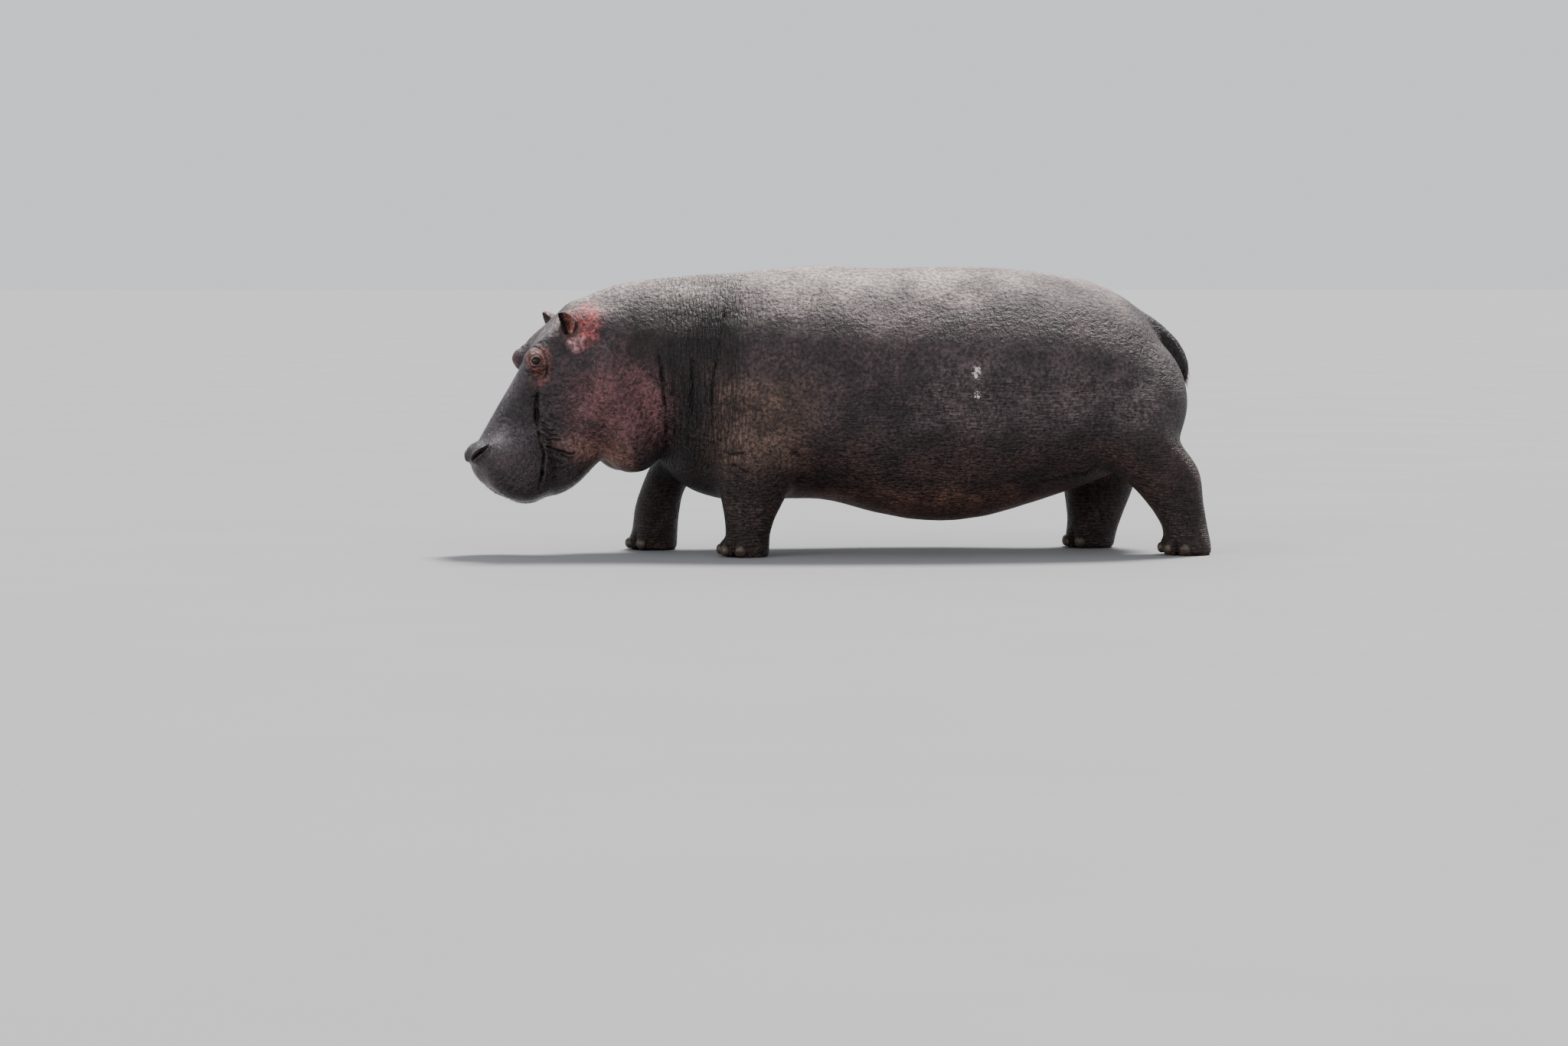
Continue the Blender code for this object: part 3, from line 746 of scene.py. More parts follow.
@dataclass
class Hide:
    """The one skin over trunk, neck, head, jaw, legs, feet and tail, with the ears drawn out of it."""

    pose: Pose
    eyes: dict[Side, EyePlan]
    ears: list["Ear"]
    coarse: float = 0.012  # size of its even squares while the facets are relaxed
    closing: float = 0.0012  # how far each solid is fattened, to close the cuts between them
    body_passes: int = 60  # how often the body is relaxed
    face_passes: int = 9  # and the head, the lower legs and the tail
    triangles: int = 192000
    head_care: float = 0.0003  # how much dearer the head's edges are to remove than the body's
    face_reach: float = 0.95  # the head is made finer this far down the snout
    near_eye: float = 0.075
    near_nostril: float = 0.045
    cleft_depth: float = 0.016  # of the clefts between the toes
    cleft_width: float = 0.0085
    cleft_top: float = 0.105  # how high above the ground they run out
    slit_depth: float = 0.024  # of the nostrils
    slit_width: float = 0.0045  # half their width at the ends
    slit_swell: float = 0.0040  # what it gains in the middle
    slit_rim: float = 0.0090  # height of their swollen rims
    sole: float = 0.004  # what lies lower than this is pressed flat on the ground
    noise: dict[str, Lattice] = field(default_factory=dict)

    def __post_init__(self) -> None:
        """Fills the random blocks."""
        names = ("swell", "ripple", "wander", "patch")
        self.noise = {name: Lattice(seed) for seed, name in enumerate(names, start=11)}

    def fused(self) -> bpy.types.Object:
        """The flesh solids and the eyeballs as one closed surface of even squares.

        Returns:
            The new object.
        """
        whole = bmesh.new()
        for name in FLESH + ("eye_left", "eye_right"):
            part = bmesh.new()
            part.from_mesh(bpy.data.objects[name].data)
            bmesh.ops.remove_doubles(part, verts=part.verts, dist=1e-5)
            part.normal_update()
            moves = [v.normal * self.closing * min(v.calc_shell_factor(), 2.5) for v in part.verts]
            for vertex, move in zip(part.verts, moves):
                vertex.co += move
            loose = bpy.data.meshes.new("part")
            part.to_mesh(loose)
            part.free()
            whole.from_mesh(loose)
            bpy.data.meshes.remove(loose)
        skin = object_from("hide", whole)
        size = self.coarse * 1.0
        apply_modifier(skin, "REMESH", mode="VOXEL", voxel_size=size)
        return skin

    def relax_facets(self, skin: bpy.types.Object) -> None:
        """Turns the solids' flat facets into round flesh, more on the body than on the face.

        Args:
            skin: The hide.
        """
        points = read_points(skin.data)
        relaxer = Relaxer(skin.data)
        on_head = self.on_head(points)
        low_leg = smooth_step(points[:, 2], 0.30, 0.12)
        kept = np.maximum(np.maximum(on_head, low_leg), self.near_tail(points))
        points = relaxer.unfacet(points, self.body_passes, 0.5 * (1.0 - kept))
        points = relaxer.unfacet(points, self.face_passes, 0.5 * kept)
        points = relaxer.relax(points, 2, 0.5)
        write_points(skin.data, points)

    def on_head(self, points: Array) -> Array:
        """1 on the head, 0 behind it.

        Args:
            points: Places on the hide.

        Returns:
            One value for each.
        """
        u, v, _ = self.pose.head(self.pose.straight(points)).T
        slope, line = HEAD_LINE
        return smooth_step(u + slope * v, line, 0.16) * smooth_step(points[:, 0], -0.90, -1.05)

    def near_tail(self, points: Array) -> Array:
        """1 on the tail.

        Args:
            points: Places on the hide.

        Returns:
            One value for each.
        """
        low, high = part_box("tail")
        inside = smooth_step(points[:, 0], low[0] + 0.02, low[0] + 0.10)
        inside = inside * band(points[:, 2], low[2] - 0.03, low[2] + 0.01, high[2] - 0.01, high[2] + 0.03)
        return inside * smooth_step(np.abs(points[:, 1]), 0.10, 0.05)

    def finer(self, skin: bpy.types.Object) -> None:
        """Divides the squares: all once, the face twice, and round eyes, ears and nostrils three times.

        Args:
            skin: The hide.
        """
        apply_modifier(skin, "SUBSURF", levels=1, render_levels=1, subdivision_type="CATMULL_CLARK")
        self.divide(skin, self.face_places)
        self.divide(skin, self.close_places)

    def divide(self, skin: bpy.types.Object, chosen: Callable[[Array], Array]) -> None:
        """Divides the squares where a rule says so.

        Args:
            skin: The hide.
            chosen: A method that takes points and says which are meant.
        """
        points = read_points(skin.data)
        picked = chosen(points)
        shape = bmesh.new()
        shape.from_mesh(skin.data)
        shape.verts.ensure_lookup_table()
        edges = {
            edge
            for face in shape.faces
            if all(picked[vertex.index] for vertex in face.verts)
            for edge in face.edges
        }
        order = sorted(edges, key=lambda edge: edge.index)
        bmesh.ops.subdivide_edges(shape, edges=order, cuts=1, use_grid_fill=True)
        bmesh.ops.triangulate(shape, faces=[face for face in shape.faces if len(face.verts) > 4])
        shape.to_mesh(skin.data)
        shape.free()
        points = read_points(skin.data)
        near = chosen(points).astype(float)
        write_points(skin.data, Relaxer(skin.data).relax(points, 3, 0.5 * near))

    def face_places(self, points: Array) -> Array:
        """Where the hide is divided a second time: the face ahead of the cheeks."""
        u, v, _ = self.pose.head(self.pose.straight(points)).T
        return (u > 0.02) & (v < 0.40) & (u < self.face_reach)

    def close_places(self, points: Array) -> Array:
        """Where the hide is divided once more: round the eyes, the ears and the nostrils.

        Args:
            points: Places on the hide.

        Returns:
            Whether each is meant.
        """
        found = np.zeros(len(points), bool)
        for eye in self.eyes.values():
            found |= lengths(points - eye.centre) < self.near_eye
        for side in Side:
            slit = self.pose.head_to_world(side.mirrored(NOSTRIL))
            found |= along_path(points, slit)[0] < self.near_nostril
        head = self.pose.head(self.pose.straight(points))
        for ear in self.ears:
            away = head - ear.placed(head)[0]
            found |= lengths(away) < ear.disc + ear.blend
        return found

    # -- sculpting --
    def creases(self, points: Array) -> tuple[Array, Array]:
        """All the fold lines.

        Args:
            points: Places on the hide.

        Returns:
            How far each place moves outwards, and how deep in a fold it lies.
        """
        straight = self.pose.straight(points)
        head = self.pose.head(straight)
        move = np.zeros(len(points))
        deep = np.zeros(len(points))
        wander = self.noise["wander"]
        sway = np.zeros((len(points), 2))
        for size, reach, shifts in ((0.060, 0.006, (0.0, 7.0)), (0.019, 0.0022, (2.0, 5.0))):
            sway += np.stack([wander.read(points + shift, size) for shift in shifts], axis=1) * reach
        uneven = np.clip(0.85 + 0.9 * wander.read(points + 11.0, 0.030), 0.25, 1.25)
        slope, line = HEAD_LINE
        ahead = head[:, 0] + slope * head[:, 1] > line
        for table, flat, allowed in (
            (HEAD_CREASES, head[:, :2], ahead & (straight[:, 0] < -0.93)),
            (BODY_CREASES, straight[:, ::2], np.ones(len(points), bool)),
        ):
            spots = np.nonzero(allowed)[0]
            place = flat[spots] + sway[spots]
            across = straight[spots, 1]
            for crease in table:
                rows, change, depth = crease.pressed(place, across)
                rows = spots[rows]
                move[rows] += change * uneven[rows]
                deep[rows] = np.maximum(deep[rows], depth * uneven[rows])
        return move, deep

    def pleats(self, along: Array, pitch: float, sway: float, places: Array, size: float) -> Array:
        """Small folds side by side.

        Args:
            along: How far each place lies in the direction that crosses them.
            pitch: Their distance from one another, twice over.
            sway: How far they wander, as a share of the pitch.
            places: Where the wandering is read.
            size: How broad its bends are.

        Returns:
            1 on their ridges and 0 between them.
        """
        waves = np.sin(2 * math.pi * (along / pitch + sway * self.noise["ripple"].read(places, size)))
        return 1.0 - np.abs(waves)

    def ripples(self, points: Array, normals: Array) -> Array:
        """Broad unevenness of the flesh, upright folds of the neck and level ones of the flank.

        Args:
            points: Places on the hide.
            normals: Directions outwards there.

        Returns:
            How far each place moves outwards.
        """
        x, _, z = self.pose.straight(points).T
        swell = self.noise["swell"]
        on_face = self.on_head(points)
        move = 0.0030 * swell.read(points, 0.16) * (1.0 - 0.7 * on_face)
        move += 0.0012 * swell.read(points + 3.0, 0.055) * (1.0 - 0.5 * on_face)
        sideways = smooth_step(np.abs(normals[:, 1]), 0.15, 0.6)
        on_neck = band(x, -0.93, -0.84, -0.56, -0.44) * band(z, 0.42, 0.60, 1.05, 1.26) * sideways
        upright = self.pleats(x, 0.026, 0.9, points * (1, 1, 0.25), 0.05)
        move += 0.0013 * on_neck * upright * (0.4 + 0.6 * swell.read(points + 5.0, 0.08) ** 2 * 3)
        flank = band(x, 0.0, 0.45, 0.95, 1.25) * band(z, 0.34, 0.50, 0.74, 0.98) * sideways
        move += 0.0009 * flank * self.pleats(z, 0.030, 0.8, points * (0.25, 1, 1) + 9.0, 0.06)
        on_leg = smooth_step(z, 0.42, 0.30) * (1.0 - on_face) * smooth_step(z, 0.10, 0.15)
        move += 0.0012 * on_leg * self.pleats(z, 0.024, 0.9, points + 17.0, 0.06) * sideways
        return move

    def toe_clefts(self, points: Array) -> Array:
        """The clefts between the toes, and the edge of the sole.

        Args:
            points: Places on the hide.

        Returns:
            How far each place moves outwards.
        """
        move = np.zeros(len(points))
        for leg in LEGS:
            low, high = (np.array(corner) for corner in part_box(f"foot_{leg}"))
            middle = (low + high) / 2
            rows = np.nonzero((points > low - 0.03).all(axis=1) & (points < high + 0.05).all(axis=1))[0]
            toes = [np.array(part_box(f"nail_{leg}_{k}")).mean(axis=0) for k in NAILS]
            bearings = sorted(math.atan2(t[1] - middle[1], middle[0] - t[0]) for t in toes)
            away = points[rows] - middle
            bearing = np.arctan2(away[:, 1], -away[:, 0])
            radius = np.hypot(away[:, 0], away[:, 1])
            height = points[rows, 2]
            for first, second in zip(bearings, bearings[1:]):
                sideways = np.abs(bearing - (first + second) / 2) * radius
                depth = self.cleft_depth * smooth_step(height, self.cleft_top, 0.03)
                move[rows] -= depth * hill(sideways, self.cleft_width)
            move[rows] -= 0.003 * smooth_step(height, 0.02, 0.0)
        return move

    def press_nostrils(self, points: Array, normals: Array) -> tuple[Array, Array]:
        """The two slanting slits on the muzzle, each with a swollen rim.

        Args:
            points: Places on the hide.
            normals: Directions outwards there.

        Returns:
            The moved points, and how deep in a slit each lies.
        """
        moved = points.copy()
        deep = np.zeros(len(points))
        for side in Side:
            path = self.pose.head_to_world(side.mirrored(NOSTRIL))
            away, place, _ = along_path(points, path)
            rows = np.nonzero(away < 0.08)[0]
            away, place = away[rows], place[rows]
            open_width = self.slit_width + self.slit_swell * np.sin(math.pi * np.clip(place, 0, 1)) ** 0.7
            inside = smooth_step(away, open_width * 1.25, open_width * 0.35)
            rim = hill(away - open_width * 1.9, 0.0085)
            moved[rows] += normals[rows] * (self.slit_rim * rim - self.slit_depth * inside)[:, None]
            deep[rows] = np.maximum(deep[rows], inside)
        return moved, deep

    def shape_lids(self, points: Array) -> Array:
        """Opens the lids over each eyeball and gives them thick rims.

        Args:
            points: Places on the hide.

        Returns:
            The moved points.
        """
        moved = points.copy()
        for eye in self.eyes.values():
            away = moved - eye.centre
            distance = lengths(away)
            facing = (away @ eye.outwards) / np.maximum(distance, 1e-9)
            rows = np.nonzero((distance < self.near_eye) & (facing > 0.25))[0]
            value = eye.opening(moved[rows])
            rim = eye.radius + eye.lid_rise * hill(value - 1.22, 0.35) + eye.lid_gap
            inner = eye.radius - eye.tucked
            target = inner + (rim - inner) * smooth_step(value, 0.93, 1.10)
            weight = smooth_step(value, 2.3, 1.45)
            size = distance[rows]
            wanted = size + (target - size) * weight
            ring = -eye.furrow * hill(value - 1.78, 0.13) + eye.outer_roll * hill(value - 2.20, 0.25)
            wanted += ring * smooth_step(facing[rows], 0.3, 0.6)
            moved[rows] = eye.centre + away[rows] / size[:, None] * wanted[:, None]
        return moved

    def sculpt(self, skin: bpy.types.Object) -> None:
        """Presses every fold, nostril, lid and toe into the hide.

        Args:
            skin: The hide.
        """
        points = read_points(skin.data)
        normals = read_normals(skin.data)
        change, _ = self.creases(points)
        change += self.ripples(points, normals)
        change += self.toe_clefts(points)
        points += normals * change[:, None]
        write_points(skin.data, points)
        points, _ = self.press_nostrils(points, read_normals(skin.data))
        points = self.shape_lids(points)
        points[:, 2] = np.where(points[:, 2] < self.sole, 0.0, points[:, 2])
        zones = np.full(len(points), BEYOND)
        for ear in self.ears:
            points, zone = ear.drawn_out(points)
            zones = np.minimum(zones, zone)
        write_points(skin.data, points)
        store(skin.data, "ear_zone", zones)

    def thin_out(self, skin: bpy.types.Object) -> None:
        """Brings the hide down to its triangles, keeping more of them on the head.

        Args:
            skin: The hide.
        """
        skin.data.calc_loop_triangles()
        present = len(skin.data.loop_triangles)
        points = read_points(skin.data)
        head = self.pose.head(self.pose.straight(points))
        kept = self.on_head(points) * smooth_step(head[:, 0], 0.0, 0.15)
        free = 1.0 - 0.5 * kept
        group = skin.vertex_groups.new(name="free")
        steps = np.linspace(0.5, 1.0, 11)
        nearest = np.abs(free[:, None] - steps).argmin(axis=1)
        for number, level in enumerate(steps):
            group.add(np.nonzero(nearest == number)[0].tolist(), float(level), "REPLACE")
        apply_modifier(
            skin, "DECIMATE", ratio=min(1.0, self.triangles / present), use_collapse_triangulate=True,
            vertex_group="free", vertex_group_factor=self.head_care,
        )
        skin.vertex_groups.clear()
        skin.data.shade_smooth()
        LOG.info("hide: %d triangles thinned, %d points left", present, len(skin.data.vertices))

    # -- colouring --
    def paint(self, skin: bpy.types.Object) -> None:
        """Stores the hide's tint, darker in its folds by painted shade and lighter on the forehead by a
        painted sheen, and its zones, all from the animal's shape.

        The zones are red for dust, green for upright wrinkles, blue for damp, and alpha for level
        wrinkles.

        Args:
            skin: The hide.
        """
        points = read_points(skin.data)
        normals = read_normals(skin.data)
        straight = self.pose.straight(points)
        x, _, z = straight.T
        u, v, w = self.pose.head(straight).T
        patch = self.noise["patch"]
        rough = 0.35 * patch.read(points, 0.10) + 0.2 * patch.read(points + 4.0, 0.035)
        on_head = self.on_head(points)
        behind_head = 1.0 - on_head

        def spot(centre: tuple, radii: tuple, edge: float = 0.45, apart: float = 0.10) -> Array:
            """A soft oval patch in the head's side view, its edge broken by the noise.

            Args:
                centre: Its middle, down the snout and towards the throat.
                radii: Half its length and half its height.
                edge: How softly it ends.
                apart: How far it keeps from the middle plane.

            Returns:
                1 in the patch and 0 outside it.
            """
            away = np.hypot((u - centre[0]) / radii[0], (v - centre[1]) / radii[1]) + 0.55 * rough
            outwards = smooth_step(np.abs(w), apart, apart + 0.05) * smooth_step(x, -0.70, -0.85)
            return smooth_step(away, 1.0 + edge, 1.0 - edge) * outwards

        tint = np.tile(TINTS["flank"], (len(points), 1))

        def lay(name: str, share: Array) -> None:
            """Mixes a named tint in."""
            tint[:] += (np.array(TINTS[name]) - tint) * np.clip(share, 0.0, 1.0)[:, None]

        up = normals[:, 2]
        rear = smooth_step(x, 0.35, 1.05)
        # the pale back on upward faces is dust, partly a painted top light
        top = smooth_step(up + 0.34 * rough - 0.20 * rear, 0.38, 1.05) * smooth_step(z, 0.70, 1.12)
        lay("back", top)
        lay("lower_flank", smooth_step(z + 0.10 * rough, 0.66, 0.42) * behind_head)
        under = smooth_step(z + 0.05 * rough, 0.36, 0.26) * smooth_step(up, -0.1, -0.6)
        lay("belly", under * behind_head)
        lay("neck", band(x, -1.16, -0.98, -0.52, -0.42) * (1.0 - top))
        fore = band(x, -0.72, -0.55, -0.30, 0.00) * smooth_step(z + 0.15 * rough, 0.95, 0.72)
        lay("shoulder", fore * smooth_step(z, 0.30, 0.50) * (1.0 - top))
        low = smooth_step(z + 0.04 * rough, 0.40, 0.24) * smooth_step(up, -0.75, -0.5)
        lay("leg", low * behind_head)
        lay("snout", on_head * smooth_step(u, 0.30, 0.48) * 0.9)
        lay("muzzle", on_head * smooth_step(u + 0.075 * rough, 0.50, 0.66))
        # a painted sheen on the head's upward faces
        lay("painted_brow_sheen", on_head * smooth_step(up + 0.2 * rough, 0.12, 0.75) * 0.75)
        rear_flank = smooth_step(x, 0.10, 0.55) * band(z, 0.52, 0.66, 0.86, 1.02)
        lay("rear_flank", rear_flank * (0.75 + rough) * (1.0 - top))
        lay("cheek", spot((0.285, 0.400), (0.225, 0.235), 0.6))
        lay("mouth_corner", spot((0.530, 0.170), (0.085, 0.075), 0.6) * 0.8)
        lay("jowl", smooth_step(z + 0.05 * rough, 0.60, 0.48) * on_head * smooth_step(u, 0.62, 0.50) * 0.8)
        mottled = np.clip(0.85 + 2.2 * patch.read(points + 9.0, 0.014), 0.25, 1.15)
        lay("ear_patch", spot((-0.014, 0.044), (0.086, 0.060), 0.5, 0.085) * mottled)
        lay("ear_patch", spot((0.060, 0.060), (0.066, 0.050), 0.5, 0.03) * mottled)
        lay("ear_scar", spot((0.098, 0.052), (0.040, 0.034), 0.5) * 0.85 * mottled)
        lay("eye_ring", spot((0.250, -0.056), (0.066, 0.064), 0.16) * 0.85)
        lay("eye_patch", spot((0.312, -0.006), (0.056, 0.044), 0.40) * mottled)
        lay("tail", self.near_tail(points) * 0.8)
        _, deep = self.creases(points)
        _, slit = self.press_nostrils(points, normals)
        # painted shade in the creases and inside the nostril slits
        lay("fold", np.maximum(np.minimum(deep * 0.95, 0.9), slit))
        for eye in self.eyes.values():
            value = eye.opening(points)
            near = smooth_step(lengths(points - eye.centre), 0.060, 0.045)
            lay("lid", hill(value - 1.42, 0.22) * near * 0.8)
            # painted shade in the furrow round the lids
            lay("fold", hill(value - 1.80, 0.12) * near * 0.7)
            lay("lid", hill(value - 2.35, 0.25) * near * 0.5)
            lay("lid_edge", smooth_step(value, 1.20, 1.05) * near)
            # painted shade where the lids meet the ball
            lay("fold", smooth_step(value, 1.06, 0.98) * near)
        zone = np.empty(len(points), np.float32)
        kept_zone = skin.data.attributes["ear_zone"]
        kept_zone.data.foreach_get("value", zone)
        skin.data.attributes.remove(kept_zone)
        lay("ear_back", smooth_step(zone, 3.0, 2.0))
        lay("ear_inside", smooth_step(zone, 1.25, 1.05))
        # painted shade in the bottom of the ear's cup
        lay("ear_rim_and_cup_shade", smooth_step(zone, 0.50, 0.10) * 0.75)
        # the ear's own dark front edge
        away, _, _ = along_path(np.stack((u, v), axis=1), EAR_FRONT)
        lay("ear_rim_and_cup_shade", smooth_step(away + 0.010 * rough, 0.019, 0.013) * smooth_step(zone, 2.2, 1.6))
        store(skin.data, "hide_tint", np.column_stack((np.clip(tint, 0.0, 1.0), np.ones(len(tint)))))
        dust = top * (1.0 - 0.6 * on_head)
        upright = band(x, -0.95, -0.82, -0.55, -0.30) * smooth_step(z, 0.30, 0.5)
        damp = on_head * (0.45 + 0.55 * smooth_step(u + 0.1 * rough, 0.50, 0.70))
        damp = np.maximum(damp, slit)
        level = smooth_step(x, -0.3, 0.3) * band(z, 0.10, 0.25, 0.75, 1.0)
        level = np.maximum(level * 0.8, smooth_step(z, 0.42, 0.30) * behind_head)
        store(skin.data, "hide_zones", np.column_stack((dust, upright, damp, level)))

    def unwrap(self, skin: bpy.types.Object) -> None:
        """Lays the hide out flat in a map of its own.

        Args:
            skin: The hide.
        """
        skin.data.uv_layers.new(name=BAKE_MAP)
        bpy.context.view_layer.objects.active = skin
        skin.select_set(True)
        bpy.ops.object.mode_set(mode="EDIT")
        bpy.ops.mesh.select_all(action="SELECT")
        bpy.ops.uv.smart_project(angle_limit=math.radians(66), island_margin=0.002, scale_to_bounds=False)
        bpy.ops.object.mode_set(mode="OBJECT")
        skin.select_set(False)

    def build(self) -> bpy.types.Object:
        """Makes the whole hide.

        Returns:
            The finished skin.
        """
        skin = self.fused()
        self.relax_facets(skin)
        self.finer(skin)
        LOG.info("hide: %d points before sculpting", len(skin.data.vertices))
        self.sculpt(skin)
        self.thin_out(skin)
        self.paint(skin)
        self.unwrap(skin)
        return skin


EAR_FRONT = (
    # the front edge of the ear in the head's side view, from its tip to its notch
    (0.021, -0.088), (0.036, -0.062), (0.056, -0.036), (0.078, -0.012), (0.094, 0.008),
)

TINTS = {
    # linear colours of the hide, among them painted shade for folds and the ear's cup, a painted sheen and a
    # partly painted top light
    "flank": (0.050, 0.0345, 0.038),
    # dust on upward faces, partly a painted top light
    "back": (0.340, 0.286, 0.268),
    "lower_flank": (0.050, 0.030, 0.026),
    "belly": (0.150, 0.080, 0.060),
    "shoulder": (0.100, 0.065, 0.052),
    # a painted sheen for the head's upward faces
    "painted_brow_sheen": (0.150, 0.140, 0.150),
    "rear_flank": (0.088, 0.070, 0.073),
    "mouth_corner": (0.044, 0.034, 0.037),
    "neck": (0.020, 0.0145, 0.0145),
    "leg": (0.045, 0.031, 0.027),
    "snout": (0.034, 0.028, 0.031),
    "muzzle": (0.047, 0.034, 0.037),
    "cheek": (0.132, 0.062, 0.066),
    "jowl": (0.170, 0.096, 0.078),
    "ear_patch": (0.420, 0.125, 0.122),
    "ear_scar": (0.560, 0.360, 0.370),
    "eye_ring": (0.190, 0.094, 0.082),
    "eye_patch": (0.150, 0.064, 0.060),
    "tail": (0.014, 0.011, 0.011),
    # painted shade for folds, nostril slits and the furrows round the lids
    "fold": (0.012, 0.008, 0.008),
    "lid": (0.300, 0.175, 0.150),
    "lid_edge": (0.150, 0.060, 0.055),
    "ear_back": (0.085, 0.050, 0.046),
    "ear_inside": (0.360, 0.160, 0.145),
    # the ear's own dark front edge, also painted as shade in the bottom of its cup
    "ear_rim_and_cup_shade": (0.018, 0.011, 0.011),
}


# ---- pieces beside the hide ----
@dataclass
class Eyeball:
    """One wet eyeball with a low cornea, a brown iris and a level oval pupil."""

    plan: EyePlan
    name: str
    iris: float = 0.0150
    pupil: tuple[float, float] = (0.0072, 0.0052)  # half its length and half its height
    cornea: float = 0.0016

    def build(self) -> bpy.types.Object:
        """Makes the ball, its pole looking out.

        Returns:
            The piece.
        """
        shape = bmesh.new()
        bmesh.ops.create_uvsphere(shape, u_segments=64, v_segments=40, radius=self.plan.radius)
        ball = object_from(self.name, shape)
        axes = np.column_stack((self.plan.forwards, self.plan.upwards, self.plan.outwards))
        if np.linalg.det(axes) < 0.0:
            axes[:, 1] *= -1.0
        local = read_points(ball.data)
        x, y, z = local.T
        away = np.hypot(x, y)
        front = z > 0.0
        bulge = self.cornea * smooth_step(away, self.iris * 1.15, 0.0) * front
        moved = local * (1.0 + bulge / self.plan.radius)[:, None]
        write_points(ball.data, self.plan.centre + moved @ axes.T)
        radial = np.where(front, away / self.iris, 3.0)
        pupil = np.where(front, np.hypot(x / self.pupil[0], y / self.pupil[1]), BEYOND)
        angle = np.arctan2(y, x)
        rays = 0.5 + 0.5 * np.sin(angle * 23) * np.sin(angle * 7 + 1.0)
        store(ball.data, "eye_zones", np.column_stack((radial, pupil, rays, np.ones(len(radial)))))
        return ball


@dataclass
class Nail:
    """One blunt horn nail, with growth ridges across it."""

    node: str
    foot: str
    depth: float = 0.0225  # half of it, as of the width and the height
    width: float = 0.0265
    height: float = 0.0255
    blunt: float = 0.86  # below 1 its corners fill out
    ridge: float = 0.012

    def build(self) -> bpy.types.Object:
        """Makes the nail in its node's place.

        Returns:
            The piece.
        """
        low, high = (np.array(corner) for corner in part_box(self.node))
        foot_low, foot_high = (np.array(corner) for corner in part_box(self.foot))
        middle = (low + high) / 2
        out = middle - (foot_low + foot_high) / 2
        bearing = math.atan2(out[1], out[0])
        shape = bmesh.new()
        bmesh.ops.create_uvsphere(shape, u_segments=32, v_segments=20, radius=1.0)
        nail = object_from(self.node + "_horn", shape)
        ball = read_points(nail.data)
        forwards, across, upwards = (np.sign(ball) * np.abs(ball) ** self.blunt).T
        ridges = self.ridge * np.sin(upwards * 19.0) * (ball[:, 0] > 0.0)
        x = forwards * (self.depth * (1.0 + 0.10 * np.minimum(upwards, 0.0)) * (1.0 + ridges))
        y = across * (self.width * (1.0 - 0.18 * np.maximum(upwards, 0.0)) * (1.0 + 0.5 * ridges))
        c, s = math.cos(bearing), math.sin(bearing)
        points = middle + np.column_stack((x * c - y * s, x * s + y * c, upwards * self.height))
        points[:, 2] = np.maximum(points[:, 2], low[2])
        write_points(nail.data, points)
        return nail


